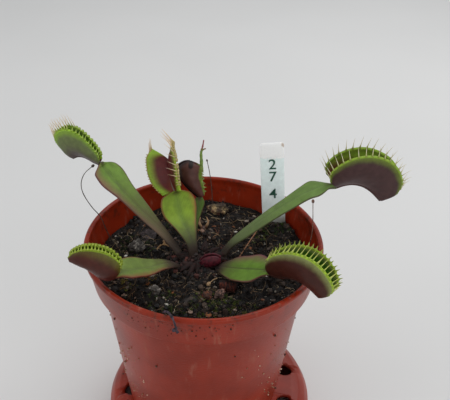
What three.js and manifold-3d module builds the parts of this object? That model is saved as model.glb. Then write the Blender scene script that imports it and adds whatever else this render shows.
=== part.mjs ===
// Potted venus flytrap: six trap leaves growing from soil in a plastic nursery pot,
// which stands on a second, upturned pot. Millimetres, +Z up.
// Everything is set out from the pot's axis, with heights from the plane of the pot's rim.
// The finished group is then moved so that it stands on z = 0, centred on its own box.

import * as THREE from 'three';
import { mergeVertices } from 'three/addons/utils/BufferGeometryUtils.js';
import Module from 'manifold-3d';

const wasm = await Module();
wasm.setup();

// Pot: a thin-walled round pot with a collar under its rim
const POT_HEIGHT = 78;
const RIM_RADIUS = 45;
const LIP_HEIGHT = 2.4;
const LIP_WIDTH = 2;
const COLLAR_TOP_RADIUS = 44.1;
const COLLAR_RADIUS = 42.3;
const COLLAR_HEIGHT = 13.7;
const BODY_RADIUS = 39.4;
const FOOT_RADIUS = 32.1;
const POT_WALL = 1;
const FLOOR_THICKNESS = 1.4;
const POT_SIDES = 40;
const POT_DRAINS = 6;
const POT_DRAIN_RADIUS = 3;
const POT_DRAIN_RING = 24;

// Stand: the upturned pot, a hollow drum with drain holes and channels round its top edge
const STAND_HEIGHT = 26;
const STAND_SHIFT = 3;
const STAND_TOP_RADIUS = 36.4;
const STAND_SHOULDER_RADIUS = 44.1;
const STAND_SHOULDER_DROP = 7;
const STAND_MOUTH_RADIUS = 46.6;
const STAND_BEAD_HEIGHT = 3;
const STAND_BEAD_WIDTH = 1.6;
const STAND_WALL = 1.8;
const DRAIN_COUNT = 12;
const DRAIN_FIRST_AZIMUTH = 11;
const DRAIN_RING = 34.2;
const DRAIN_RADIUS = 3.5;
const CHANNEL_WIDTH = 4.4;
const CHANNEL_DEPTH = 1;
const CHANNEL_LENGTH = 12;

// Soil
const CLEARANCE = 0.3;
const SOIL_LEVEL = -11.3;
const SOIL_RINGS = [38, 33, 28, 23, 18, 13, 8.5, 4.2];
const SOIL_SIDES = 36;
// each mound of moss or peat: x, y, radius, height
const MOUNDS = [
  [28, 24, 8, 2.5],
  [33, 8, 8, 1.0],
  [4, -25, 9, 1.2],
  [-27, 6, 8, 1.3],
  [-24, -18, 6, 1.0],
  [-2, -4, 8, 1.2],
  [3, 31, 9, 1.0],
];
const RIPPLE_COUNT = 7;
const RIPPLE_HEIGHT = 0.13;

// Leaf blades and traps
const BLADE_EDGE = 0.65;
const BLADE_STEPS = 12;
const BLADE_COLUMNS = 4;
const LOBE_THICKNESS = 0.8;
const LOBE_STEPS = 9;
const LOBE_COLUMNS = 4;
const SMALL_LOBE_STEPS = 5;
const SMALL_LOBE_COLUMNS = 3;
const NECK_GAP = 0.35;
const CILIUM_RADIUS = 0.36;
const CILIUM_ROOT = 0.6;
const HORN_RADIUS = 0.75;
const HORN_TIP_RADIUS = 0.35;

// Each leaf. root: x and y of the stem; azimuth: the way the leaf runs, in degrees.
// stalk: points along the leaf blade: run from the root, height and half width.
// roll and fold: the blade's tilt about its own length, and the rise of its two halves.
// trap: forward and opens are azimuth and elevation in degrees; midrib and margin are points
// forward and outward from the neck; gape is half the gap between the two margins,
// bulge is the swell of each lobe, and cilia is their number along one margin.
// flare and narrow widen the end and draw in the middle of the lobe at way -1, spread opens the
// other lobe near the neck, and horn and fork are a spur that rises past the lobes.
const LEAVES = {
  far_left: {
    root: [-6.3, -1.2], azimuth: 150, roll: 4, fold: 8, stem: 2.4,
    stalk: [[0, -15, 1.5], [2.5, -10.4, 1.6], [9.3, -3.2, 2.1], [19, 4, 3.6], [28.8, 11.3, 5.5],
      [34.8, 15.9, 6.9], [37.6, 18.2, 6.4], [39.2, 19.4, 3], [40, 20, 1]],
    trap: {
      forward: [168, 25], opens: [168, 115], gape: 1.4, bulge: 2.4, cilia: 9, length: 4.6,
      midrib: [[0, 0], [3, -0.5], [6, -0.5], [8.7, -1.6], [10.6, -4]],
      margin: [[1, 2.2], [2.5, 4.2], [5.5, 6], [9, 7.5], [12.5, 8.3], [16, 8], [18.5, 6.2],
        [19.8, 3.2], [18.9, 0.2], [16.5, -1.3]],
    },
  },
  centre: {
    root: [-3, -3.2], azimuth: 118, roll: 0, fold: 6, stem: 2.4,
    stalk: [[1.6, -15, 1.7], [1.9, -11, 1.8], [2.6, -5.4, 1.9], [4.6, -1.9, 2.5], [8.1, 0.7, 3.9],
      [11.5, 2.7, 5.6], [14.3, 4.9, 6.9], [16.2, 7.7, 7.2], [17.4, 10.2, 6.2], [17.9, 11.6, 3.8],
      [18.2, 12.4, 1.1]],
    trap: {
      forward: [94.5, 41.4], opens: [217, 31], gape: 8.9, bulge: -1, cilia: 8, length: 5,
      flare: 2, narrow: 1.8,
      midrib: [[0, 0], [3.7, 1.9], [8.4, 2.8], [10.8, 2.3]],
      margin: [[-1.7, 2.1], [2, 4.6], [5.6, 6], [10.4, 7.4], [14, 8.3], [16.5, 7.5]],
    },
  },
  back: {
    root: [-4.8, 6.5], azimuth: 80.5, roll: 0, fold: 6, stem: 1.9,
    stalk: [[0, -15, 1.4], [0.4, -10.4, 1.4], [2.2, -5.5, 1.3], [5.8, -1.5, 1.2], [9.5, 1.4, 1.8],
      [12.2, 3.7, 2.3], [13.6, 5.1, 1.1]],
    trap: {
      forward: [90, 70], opens: [0, 0], gape: 0.9, bulge: 2.8, cilia: 6, length: 2.2,
      midrib: [[0, 0], [3.5, -4.2], [8, -7.9], [12, -8.8], [13.9, -6.6], [14.3, -4.2]],
      margin: [[1, 1.6], [4, 1.4], [7.5, 0.7], [9.5, 0.55], [11.2, 0.5], [12.4, 0.45]],
      horn: [[10.6, 0.4], [14.5, 0.3], [17.5, 0.1], [18.8, 0.25], [20.3, 0.65], [22.9, 1.05]],
      fork: [[18.4, 0.2], [19.2, 1], [19.6, 1.9]],
    },
  },
  far_right: {
    root: [4.6, -0.2], azimuth: 18, roll: 10, fold: 5, stem: 2.4,
    stalk: [[0.5, -15, 1.5], [2.3, -9.9, 1.6], [5.9, -4.3, 1.6], [10.6, -0.6, 2.2],
      [19.6, 5.4, 2.8], [28.4, 10.7, 3.2], [34.5, 14.2, 3.9], [38.5, 15.6, 4.2], [42, 16, 2.9],
      [44.5, 15.8, 1.3], [47.8, 15.3, 0.9]],
    trap: {
      forward: [8, 0], opens: [8, 90], gape: 3, bulge: 2.6, cilia: 10, length: 5,
      spread: 2.6,
      midrib: [[0, 0], [2.3, 0.7], [5, 1.1], [8.2, 0.7], [11.7, -0.8], [14.8, -3.3],
        [18.6, -7.4]],
      margin: [[-3.4, 3.4], [-3.6, 7.4], [-0.8, 11], [4, 13.8], [10, 14.8], [15, 13.8],
        [20, 11], [23.7, 6.4], [25.6, 1], [24.6, -3.2]],
    },
  },
  near_right: {
    root: [3.5, -4.5], azimuth: -38, roll: 18, fold: 6, stem: 2,
    stalk: [[2.2, -15, 1.2], [2.3, -11.6, 1.3], [3.3, -9.4, 2.1], [5.4, -7.9, 3.3], [9, -6, 4.8],
      [13.2, -4.1, 6.2], [17.6, -1.9, 6.7], [21.6, -0.1, 5.6], [24.3, 0.6, 2.8], [26, 0.4, 1]],
    trap: {
      forward: [-32, 0], opens: [-32, 90], gape: 2.6, bulge: 2.8, cilia: 10, length: 3.4,
      midrib: [[0, 0], [2.5, 0], [5, 0.9], [7.9, 2], [10.8, 2.4], [13.4, 2], [16, 0.7],
        [19, -1.1]],
      margin: [[-1.2, 5.4], [1, 9.4], [5, 12.8], [9, 14.8], [13, 15.5], [17, 14.9],
        [20.5, 12.9], [23.2, 9.8], [24.6, 6.4], [23.6, 3]],
    },
  },
  near_left: {
    root: [-8, -4], azimuth: 228, roll: -14, fold: 16, stem: 2,
    stalk: [[0.9, -15, 1.2], [1.3, -11.5, 1.3], [3.5, -8.8, 1.5], [7.1, -5.9, 2.3],
      [11.3, -3.7, 3], [17.2, -1, 4.3], [22.9, 1.8, 5.2], [26.8, 3.4, 4.8], [29.8, 3.6, 2.7],
      [31.8, 3, 1]],
    trap: {
      forward: [182, 0], opens: [182, 90], gape: 1, bulge: 2.6, cilia: 9, length: 1.5,
      midrib: [[0, 0], [2.5, -1], [5, 0.2], [8, 3], [10.8, 5], [13.6, 6.9]],
      margin: [[-2.2, 3.3], [-2.4, 6.6], [-0.3, 9.6], [2.5, 11.5], [5.5, 12.3], [8.2, 12.4],
        [11, 11.7], [13.2, 10.3], [14.4, 8.6]],
    },
  },
};

// A new leaf still folded up, and an old dried trap lying on the soil
const YOUNG_LEAF = {
  neck: [-1.3, -5.1, -9.8],
  forward: [4, 12], opens: [4, 102], gape: 0.7, bulge: 1.5, cilia: 0, length: 0, small: true,
  midrib: [[0, 0], [2.5, -0.8], [5.5, -0.6], [8, 0.5]],
  margin: [[0.2, 2.2], [2.4, 4], [4.8, 4.3], [7, 3.7], [8.4, 2.2]],
};
const OLD_TRAP = {
  neck: [6.2, -15.2, -9.3],
  forward: [-6, 0], opens: [264, -30], gape: 1, bulge: 0.8, cilia: 5, length: 2.2, small: true,
  midrib: [[0, 0], [2.2, -0.5], [4.5, -0.5], [6.8, 0]],
  margin: [[0.2, 1.6], [2, 2.6], [4.6, 2.7], [6.6, 1.8]],
};

// Hollows in the soil and the crown where these two lie: centre and half sizes
const PITS = [
  { at: [2.8, -5.2, -8.4], half: [6.6, 3.4, 3.6] },
  { at: [9.6, -16.6, -9.6], half: [5.6, 4.8, 3.2] },
];

// Crown: the low rosette that the stems rise from.
// Each scale: azimuth, reach from the centre, height of its tip, width at its root
const CROWN_CENTRE = [-1.6, -1.4];
const CROWN_HALF = [7.4, 6, 2.6];
const CROWN_SCALES = [
  [-8, 11, 2.2, 2.4],
  [10, 12.6, 2.4, 2.6],
  [33, 9.6, 2.8, 2],
  [76, 9.4, 3, 1.8],
  [132, 9, 2.4, 1.8],
  [176, 9.6, 2.2, 2],
  [232, 11.4, 1.8, 2.2],
  [250, 11.6, 1.4, 2.2],
  [266, 9.6, 1.8, 2],
];

// Plant label: a flat upright tag that leans a little to the left, its point in the soil
const LABEL_FOOT = [28.1, 23.6];
const LABEL_LEAN = 5;
const LABEL_WIDTH = 9.4;
const LABEL_THICKNESS = 0.8;
const LABEL_TOP = 28.6;
const LABEL_SHOULDER = -9;
const LABEL_POINT = -13.9;

// Thin things: points along each, with a radius and a knob at the far end
const THREADS = {
  moss_stalk_left: {
    radius: 0.34, knob: 0.62,
    points: [[-36.4, 9.8, -13.4], [-39.2, 10, -5], [-41, 10, 1.2], [-43.9, 10, 5.6],
      [-46.7, 10, 12], [-46.9, 10, 16.4], [-45.2, 10, 20.6], [-41.8, 10, 24]],
  },
  moss_stalk_right: {
    radius: 0.34, knob: 0.66,
    points: [[37, 3.4, -13.4], [40, 2.2, -5], [40.7, 1.4, 3], [39.6, 1, 17]],
  },
  moss_stalk_back: {
    radius: 0.34, knob: 0.45,
    points: [[2.4, 36.2, -13], [1.6, 37.6, -2], [0.6, 38, 6], [-0.5, 38, 11.6]],
  },
  straw: {
    radius: 0.42, knob: 0,
    points: [[13.6, 2.5, -11.2], [18.6, 10.6, -7.7], [23.6, 19, -5]],
  },
  pale_stick: {
    radius: 0.4, knob: 0.85,
    points: [[5.4, -12, -9.8], [4, -13.6, -9.3], [2.4, -16, -9.2]],
  },
  dark_scrap: {
    radius: 0.45, knob: 0,
    points: [[-12.2, -35.4, -12.6], [-11.9, -39.4, -2.6], [-10, -42.2, 1.1], [-8, -45.4, 1.1],
      [-6.9, -47, -1.4], [-6.5, -47, -3]],
  },
};
const ROOTLET_RADIUS = 0.38;
const ROOTLET_BRANCHES = [
  [[-16.6, 11.4, -9.6], [-16.2, 8.6, -9.3], [-16, 7.2, -9.3]],
  [[-16, 7.2, -9.3], [-17.6, 6.2, -9.4], [-18.8, 4, -9.9]],
  [[-16, 7.2, -9.3], [-13.6, 5.8, -9.4], [-11.4, 4.4, -9.8]],
];
const SHOOT_TIPS = [
  [[-1.9, 22.4, -12], [-2.9, 22.4, -9], [-2.45, 22.4, -6.6]],
  [[-0.5, 22.4, -12], [0.75, 22.4, -8.9], [0.1, 22.4, -6.3]],
];
const SHOOT_RADIUS = 0.7;

// Loose pieces lying in the soil: centre, half sizes and turn in degrees
const CHIPS = {
  bark_flake: { at: [-22.9, 14.2, -9.9], half: [3.4, 3.2, 0.7], turn: 20, colour: 0x5b4d52 },
  grey_stone: { at: [-26.6, 5, -8.9], half: [2.9, 3, 1.7], turn: -15, colour: 0x8f8880 },
  coir_chunk: { at: [4.7, 31.6, -8.8], half: [4.3, 2.8, 2.5], turn: 6, colour: 0x8a6a48 },
  pale_scrap: { at: [-17.2, -19.4, -9.9], half: [1.9, 2.6, 1.1], turn: 30, colour: 0xa9a29a },
  orange_chip: { at: [2, -21.6, -9.5], half: [2, 1.9, 1], turn: 10, colour: 0x8c4a20 },
  pink_chip: { at: [6.6, -21.2, -9.3], half: [1.7, 2.3, 1.1], turn: -20, colour: 0x9c7466 },
};

// Colours, with roughness
const FINISHES = {
  terracotta: [0x9a4a38, 0.45],
  stand_plastic: [0xa04a3a, 0.45],
  peat: [0x1d1714, 1],
  crown: [0x2f1a18, 0.8],
  leaf: [0x5d8a35, 0.5],
  trap: [0x5a3a30, 0.5],
  maroon: [0x5a1a26, 0.5],
  dried: [0x3c1d18, 0.9],
  label: [0xc8d7d0, 0.5],
  moss_stalk: [0x4a4440, 0.8],
  straw: [0xb08a5c, 0.8],
};

const radians = THREE.MathUtils.degToRad;

// A repeatable draw between 0 and 1
function makeRandom(seed) {
  let state = seed;
  return () => {
    state = (state * 1103515245 + 12345) % 2147483648;
    return state / 2147483648;
  };
}

function direction([azimuth, elevation]) {
  const level = Math.cos(radians(elevation));
  return new THREE.Vector3(
    level * Math.cos(radians(azimuth)),
    level * Math.sin(radians(azimuth)),
    Math.sin(radians(elevation)),
  );
}

function curveThrough(points) {
  return new THREE.CatmullRomCurve3(points.map((p) => new THREE.Vector3(...p)));
}

// A closed mesh as a solid that can be cut and joined
function solid(geometry) {
  const merged = indexed(geometry);
  const index = merged.getIndex().array;
  const kept = [];
  for (let i = 0; i < index.length; i += 3) {
    const [a, b, c] = [index[i], index[i + 1], index[i + 2]];
    if (a !== b && b !== c && c !== a) {
      kept.push(a, b, c);
    }
  }
  return new wasm.Manifold(new wasm.Mesh({
    numProp: 3,
    vertProperties: Float32Array.from(merged.getAttribute('position').array),
    triVerts: Uint32Array.from(kept),
  }));
}

// A solid back as a geometry
function geometryOf(body) {
  const mesh = body.getMesh();
  const geometry = new THREE.BufferGeometry();
  const positions = Float32Array.from(mesh.vertProperties);
  geometry.setAttribute('position', new THREE.BufferAttribute(positions, 3));
  geometry.setIndex(new THREE.BufferAttribute(Uint32Array.from(mesh.triVerts), 1));
  return geometry;
}

function joined(bodies) {
  return bodies.reduce((all, body) => all.add(body));
}

// A body less all the cutters, without the crumbs that the cuts leave
function cut(body, cutters) {
  const left = cutters.reduce((rest, cutter) => rest.subtract(cutter), body);
  return left.decompose().sort((a, b) => b.volume() - a.volume())[0];
}

function ellipsoid({ at, half }, grow) {
  const ball = new THREE.SphereGeometry(1, 12, 6);
  ball.scale(half[0] + grow, half[1] + grow, half[2] + grow);
  ball.translate(...at);
  return solid(ball);
}

// A round body from a profile of radius and height, turned about Z
function turned(profile, sides) {
  const points = profile.map(([r, z]) => new THREE.Vector2(r, z));
  const geometry = new THREE.LatheGeometry(points, sides);
  geometry.rotateX(Math.PI / 2);
  return geometry;
}

// A closed plate between two like grids of points, split into triangles alike on both faces
function plate(rows, columns, front, back) {
  const positions = [];
  const index = [];
  const width = columns + 1;
  const faceSize = (rows + 1) * width;
  for (const face of [front, back]) {
    for (let i = 0; i <= rows; i++) {
      for (let j = 0; j <= columns; j++) {
        positions.push(...face(i / rows, j / columns).toArray());
      }
    }
  }
  const at = (face, i, j) => face * faceSize + i * width + j;
  for (let i = 0; i < rows; i++) {
    for (let j = 0; j < columns; j++) {
      const [a, b, c, d] = [[i, j], [i + 1, j], [i + 1, j + 1], [i, j + 1]];
      index.push(at(0, ...a), at(0, ...b), at(0, ...c), at(0, ...a), at(0, ...c), at(0, ...d));
      index.push(at(1, ...a), at(1, ...c), at(1, ...b), at(1, ...a), at(1, ...d), at(1, ...c));
    }
  }
  const edge = (p, q) => {
    index.push(at(0, ...q), at(0, ...p), at(1, ...p), at(0, ...q), at(1, ...p), at(1, ...q));
  };
  for (let i = 0; i < rows; i++) {
    edge([i, 0], [i + 1, 0]);
    edge([i + 1, columns], [i, columns]);
  }
  for (let j = 0; j < columns; j++) {
    edge([rows, j], [rows, j + 1]);
    edge([0, j + 1], [0, j]);
  }
  const geometry = new THREE.BufferGeometry();
  geometry.setAttribute('position', new THREE.Float32BufferAttribute(positions, 3));
  geometry.setIndex(index);
  return outward(geometry);
}

// The same geometry with its faces pointing out
function outward(geometry) {
  const p = geometry.getAttribute('position');
  const index = geometry.getIndex().array;
  const [a, b, c] = [new THREE.Vector3(), new THREE.Vector3(), new THREE.Vector3()];
  let volume = 0;
  for (let i = 0; i < index.length; i += 3) {
    a.fromBufferAttribute(p, index[i]);
    b.fromBufferAttribute(p, index[i + 1]);
    c.fromBufferAttribute(p, index[i + 2]);
    volume += a.dot(b.cross(c));
  }
  if (volume < 0) {
    for (let i = 0; i < index.length; i += 3) {
      [index[i + 1], index[i + 2]] = [index[i + 2], index[i + 1]];
    }
  }
  return geometry;
}

// A round bar along a curve, with a radius that may change, closed at both ends.
// grow widens and lengthens it by the same amount, for the hole that it stands in.
function bar(curve, radiusAt, sides, steps, grow = 0) {
  const positions = [];
  const index = [];
  const frames = curve.computeFrenetFrames(steps, false);
  for (let i = 0; i <= steps; i++) {
    const centre = curve.getPointAt(i / steps);
    const radius = radiusAt(i / steps) + grow;
    if (i === 0 || i === steps) {
      centre.addScaledVector(curve.getTangentAt(i / steps), i === 0 ? -grow : grow);
    }
    for (let k = 0; k < sides; k++) {
      const turn = 2 * Math.PI * k / sides;
      const rim = centre.clone()
        .addScaledVector(frames.normals[i], radius * Math.cos(turn))
        .addScaledVector(frames.binormals[i], radius * Math.sin(turn));
      positions.push(...rim.toArray());
    }
  }
  for (let i = 0; i < steps; i++) {
    for (let k = 0; k < sides; k++) {
      const a = i * sides + k;
      const b = i * sides + (k + 1) % sides;
      index.push(a, a + sides, b, b, a + sides, b + sides);
    }
  }
  const last = steps * sides;
  for (let k = 1; k < sides - 1; k++) {
    index.push(0, k, k + 1, last, last + k + 1, last + k);
  }
  const geometry = new THREE.BufferGeometry();
  geometry.setAttribute('position', new THREE.Float32BufferAttribute(positions, 3));
  geometry.setIndex(index);
  return outward(geometry);
}

// A thin straight spike with three sides
function spike(root, tip, radius) {
  const along = tip.clone().sub(root);
  const cone = new THREE.ConeGeometry(radius, along.length(), 3, 1);
  cone.translate(0, along.length() / 2, 0);
  const up = new THREE.Vector3(0, 1, 0);
  cone.applyQuaternion(new THREE.Quaternion().setFromUnitVectors(up, along.normalize()));
  cone.translate(...root.toArray());
  return cone;
}

// Pot
function potProfile() {
  const stepTop = -COLLAR_HEIGHT;
  const foot = -POT_HEIGHT;
  const innerFloor = foot + FLOOR_THICKNESS;
  return [
    [0, foot],
    [FOOT_RADIUS - 1, foot],
    [FOOT_RADIUS, foot + 1.2],
    [BODY_RADIUS, stepTop - 0.6],
    [COLLAR_RADIUS, stepTop],
    [COLLAR_TOP_RADIUS, -LIP_HEIGHT],
    [RIM_RADIUS, -LIP_HEIGHT + 0.5],
    [RIM_RADIUS, -0.6],
    [RIM_RADIUS - 0.6, 0],
    [RIM_RADIUS - LIP_WIDTH + 0.6, 0],
    [RIM_RADIUS - LIP_WIDTH, -0.6],
    [COLLAR_TOP_RADIUS - POT_WALL, -LIP_HEIGHT],
    [COLLAR_RADIUS - POT_WALL, stepTop + 1],
    [BODY_RADIUS - POT_WALL, stepTop + 0.5],
    [FOOT_RADIUS - POT_WALL, innerFloor],
    [0, innerFloor],
  ];
}

function makePot() {
  let body = solid(turned(potProfile(), POT_SIDES));
  for (let i = 0; i < POT_DRAINS; i++) {
    const turn = 2 * Math.PI * i / POT_DRAINS;
    const drill = new THREE.CylinderGeometry(POT_DRAIN_RADIUS, POT_DRAIN_RADIUS, 6, 8);
    drill.rotateX(Math.PI / 2);
    drill.translate(POT_DRAIN_RING * Math.cos(turn), POT_DRAIN_RING * Math.sin(turn), -POT_HEIGHT);
    body = body.subtract(solid(drill));
  }
  return body;
}

// Stand
function makeStand() {
  const top = -POT_HEIGHT - CLEARANCE;
  const base = top - STAND_HEIGHT;
  const shoulder = top - STAND_SHOULDER_DROP;
  const bead = base + STAND_BEAD_HEIGHT;
  const outerWall = STAND_MOUTH_RADIUS - STAND_BEAD_WIDTH;
  const profile = [
    [0, top],
    [STAND_TOP_RADIUS, top],
    [STAND_TOP_RADIUS + 3.2, top - 0.9],
    [STAND_TOP_RADIUS + 5.9, top - 3.4],
    [STAND_SHOULDER_RADIUS, shoulder],
    [outerWall, bead],
    [STAND_MOUTH_RADIUS, bead],
    [STAND_MOUTH_RADIUS, base],
    [outerWall - STAND_WALL, base],
    [STAND_SHOULDER_RADIUS - STAND_WALL, shoulder],
    [STAND_TOP_RADIUS + 3.6, top - 4.2],
    [STAND_TOP_RADIUS - 1, top - STAND_WALL],
    [0, top - STAND_WALL],
  ];
  let body = solid(outward(indexed(turned(profile.reverse(), POT_SIDES))));
  for (let i = 0; i < DRAIN_COUNT; i++) {
    const azimuth = radians(DRAIN_FIRST_AZIMUTH + 360 * i / DRAIN_COUNT);
    const drill = new THREE.CylinderGeometry(DRAIN_RADIUS, DRAIN_RADIUS, 9, 8);
    drill.rotateX(Math.PI / 2);
    drill.translate(DRAIN_RING, 0, top);
    const channel = new THREE.BoxGeometry(CHANNEL_LENGTH, CHANNEL_WIDTH, 2 * CHANNEL_DEPTH);
    channel.rotateY(radians(22));
    channel.translate(DRAIN_RING + CHANNEL_LENGTH / 2, 0, top - CHANNEL_DEPTH);
    for (const cutter of [drill, channel]) {
      cutter.rotateZ(azimuth);
      body = body.subtract(solid(cutter));
    }
  }
  return body.translate(STAND_SHIFT, 0, 0);
}

// A geometry with only its positions, sharing the corners that meet
function indexed(geometry) {
  return mergeVertices(stripped(geometry), 1e-4);
}

function stripped(geometry) {
  geometry.deleteAttribute('normal');
  geometry.deleteAttribute('uv');
  return geometry;
}

// Soil height over a point of the pot
const ripples = [];
{
  const random = makeRandom(7);
  for (let i = 0; i < RIPPLE_COUNT; i++) {
    const heading = 2 * Math.PI * random();
    const tightness = 0.35 + 0.5 * random();
    ripples.push({
      kx: tightness * Math.cos(heading),
      ky: tightness * Math.sin(heading),
      phase: 2 * Math.PI * random(),
    });
  }
}

function soilHeight(x, y) {
  let z = SOIL_LEVEL;
  for (const [mx, my, radius, height] of MOUNDS) {
    const away = ((x - mx) ** 2 + (y - my) ** 2) / radius ** 2;
    z += height * Math.exp(-away);
  }
  for (const { kx, ky, phase } of ripples) {
    z += RIPPLE_HEIGHT * Math.sin(kx * x + ky * y + phase);
  }
  return z;
}

// Soil: fills the pot, with a clearance to its wall and an uneven top
function makeSoil(holes) {
  const wallGap = POT_WALL + CLEARANCE;
  const bottom = -POT_HEIGHT + FLOOR_THICKNESS + CLEARANCE;
  const profile = [
    [0, bottom],
    [FOOT_RADIUS - wallGap, bottom],
    [BODY_RADIUS - wallGap, -COLLAR_HEIGHT + 0.8],
    [COLLAR_RADIUS - wallGap - 0.1, -COLLAR_HEIGHT + 1.4],
    [COLLAR_RADIUS - wallGap, SOIL_LEVEL],
    ...SOIL_RINGS.map((r) => [r, SOIL_LEVEL]),
    [0, SOIL_LEVEL],
  ];
  const geometry = turned(profile, SOIL_SIDES);
  const p = geometry.getAttribute('position');
  for (let i = 0; i < p.count; i++) {
    if (Math.abs(p.getZ(i) - SOIL_LEVEL) < 0.01) {
      p.setZ(i, soilHeight(p.getX(i), p.getY(i)));
    }
  }
  return cut(solid(outward(geometry)), holes);
}

// Leaf blade: a folded plate along its stalk's curve, round and thick at the stem.
// grow widens it all round, for the plain hole that its stem stands in.
function makeBlade({ root, azimuth, roll, fold, stem, stalk }, grow) {
  const curve = curveThrough(stalk);
  const run = direction([azimuth, 0]);
  const up = new THREE.Vector3(0, 0, 1);
  const station = (u) => {
    const point = curve.getPoint(u);
    const slope = curve.getTangent(u);
    const centre = new THREE.Vector3(root[0], root[1], point.y).addScaledVector(run, point.x);
    const along = run.clone().multiplyScalar(slope.x).addScaledVector(up, slope.y).normalize();
    const side = new THREE.Vector3().crossVectors(up, run);
    const face = new THREE.Vector3().crossVectors(along, side);
    side.applyAxisAngle(along, radians(roll));
    face.applyAxisAngle(along, radians(roll));
    return { centre, side, face, along, half: point.z };
  };
  const face = (way) => (u, v) => {
    const { centre, side, face: normal, along, half } = station(u);
    if (u === 0 || u === 1) {
      centre.addScaledVector(along, u === 0 ? -grow : grow);
    }
    const across = 2 * v - 1;
    const slimness = THREE.MathUtils.clamp((half - 1.6) / 2.6, 0, 1);
    const middle = THREE.MathUtils.lerp(stem, 1.3, slimness);
    const thickness = THREE.MathUtils.lerp(middle, BLADE_EDGE, Math.abs(across)) + 2 * grow;
    const rise = (Math.abs(across) - 1) * half * Math.tan(radians(fold)) * slimness;
    return centre.clone()
      .addScaledVector(side, across * (half + grow))
      .addScaledVector(normal, rise + way * thickness / 2);
  };
  return solid(plate(BLADE_STEPS, BLADE_COLUMNS, face(1), face(-1)));
}

// Where the blade ends and its trap begins
function neckOf({ root, azimuth, stalk }) {
  const [run, height] = stalk[stalk.length - 1];
  return new THREE.Vector3(root[0], root[1], height).addScaledVector(direction([azimuth, 0]), run);
}

// A trap's own frame, and the places on its two lobes
function trapFrame(neck, trap) {
  const forward = direction(trap.forward);
  const opens = direction(trap.opens);
  opens.addScaledVector(forward, -opens.dot(forward)).normalize();
  const side = new THREE.Vector3().crossVectors(opens, forward);
  const midrib = curveThrough(trap.midrib.map(([a, u]) => [a, u, 0]));
  const margin = curveThrough(trap.margin.map(([a, u]) => [a, u, 0]));
  const place = (a, u, v) => neck.clone()
    .addScaledVector(forward, a)
    .addScaledVector(opens, u)
    .addScaledVector(side, v);
  const swell = (s) => 0.35 + 0.65 * Math.sin(Math.PI * s);
  const lobe = (s, t, way) => {
    const inner = midrib.getPoint(s);
    const outer = margin.getPoint(s);
    const flat = inner.lerp(outer, t);
    const arch = Math.sin(Math.PI * s);
    const shift = way < 0
      ? (trap.flare ?? 0) * s ** 2 - (trap.narrow ?? 0) * arch
      : (trap.spread ?? 0) * Math.cos(Math.PI * s);
    const parting = 0.3 + (trap.gape - 0.3) * t ** 1.3 * (0.55 + 0.45 * arch) + shift * t;
    const belly = trap.bulge * swell(s) * Math.sin(Math.PI * t ** 0.85);
    return place(flat.x, flat.y, way * (parting + belly));
  };
  return { forward, opens, side, midrib, margin, place, lobe };
}

// The lobe's surface normal, by small steps along it
function lobeNormal(lobe, s, t, way) {
  const step = 0.02;
  const along = lobe(Math.min(s + step, 1), t, way).sub(lobe(Math.max(s - step, 0), t, way));
  const across = lobe(s, Math.min(t + step, 1), way).sub(lobe(s, Math.max(t - step, 0), way));
  return along.cross(across).normalize();
}

function makeTrap(neck, trap, seed) {
  const random = makeRandom(seed);
  const { place, lobe, midrib, side } = trapFrame(neck, trap);
  const bodies = [];
  const steps = trap.small ? SMALL_LOBE_STEPS : LOBE_STEPS;
  const columns = trap.small ? SMALL_LOBE_COLUMNS : LOBE_COLUMNS;
  const ribCurve = new THREE.CatmullRomCurve3(
    [0, 0.2, 0.4, 0.6, 0.8, 1].map((s) => {
      const p = midrib.getPoint(s);
      return place(p.x + (s === 0 ? NECK_GAP : 0), p.y, 0);
    }),
  );
  bodies.push(solid(bar(ribCurve, (s) => 0.95 - 0.35 * s, 6, steps)));
  for (const way of [-1, 1]) {
    const sheet = (offset) => (s, t) => {
      const point = lobe(s, t, way);
      return point.addScaledVector(lobeNormal(lobe, s, t, way), offset * LOBE_THICKNESS / 2);
    };
    bodies.push(solid(plate(steps, columns, sheet(1), sheet(-1))));
    for (let i = 0; i < trap.cilia; i++) {
      const s = (i + 0.5 + 0.3 * (random() - 0.5)) / trap.cilia;
      const edge = lobe(s, 1, way);
      const outwardly = edge.clone().sub(lobe(s, 0.9, way)).normalize();
      const root = edge.clone().addScaledVector(outwardly, -CILIUM_ROOT);
      const lean = trap.gape > 3 ? 0.2 : 0.55;
      outwardly.addScaledVector(side, -way * lean).normalize();
      const reach = trap.length * (0.75 + 0.35 * random()) * (0.6 + 0.4 * Math.sin(Math.PI * s));
      const tip = edge.clone().addScaledVector(outwardly, reach);
      bodies.push(solid(spike(root, tip, CILIUM_RADIUS)));
    }
  }
  for (const points of [trap.horn, trap.fork].filter(Boolean)) {
    const spur = curveThrough(points.map(([a, u]) => place(a, u, 0).toArray()));
    const thick = points === trap.horn ? HORN_RADIUS : HORN_TIP_RADIUS;
    bodies.push(solid(bar(spur, (u) => thick + (HORN_TIP_RADIUS - thick) * u, 5, 5)));
  }
  return joined(bodies);
}

// Crown: a low dome with pointed scales round it
function crownDome(grow) {
  const ground = soilHeight(...CROWN_CENTRE);
  return ellipsoid({ at: [...CROWN_CENTRE, ground], half: CROWN_HALF }, grow);
}

function makeCrown(cutters) {
  const ground = soilHeight(...CROWN_CENTRE);
  const bodies = [crownDome(0)];
  for (const [azimuth, reach, height, width] of CROWN_SCALES) {
    const way = direction([azimuth, 0]);
    const root = new THREE.Vector3(...CROWN_CENTRE, ground + 1).addScaledVector(way, 2);
    const tip = new THREE.Vector3(...CROWN_CENTRE, ground + height).addScaledVector(way, reach);
    bodies.push(solid(spike(root, tip, width)));
  }
  return cut(joined(bodies), cutters);
}

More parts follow.
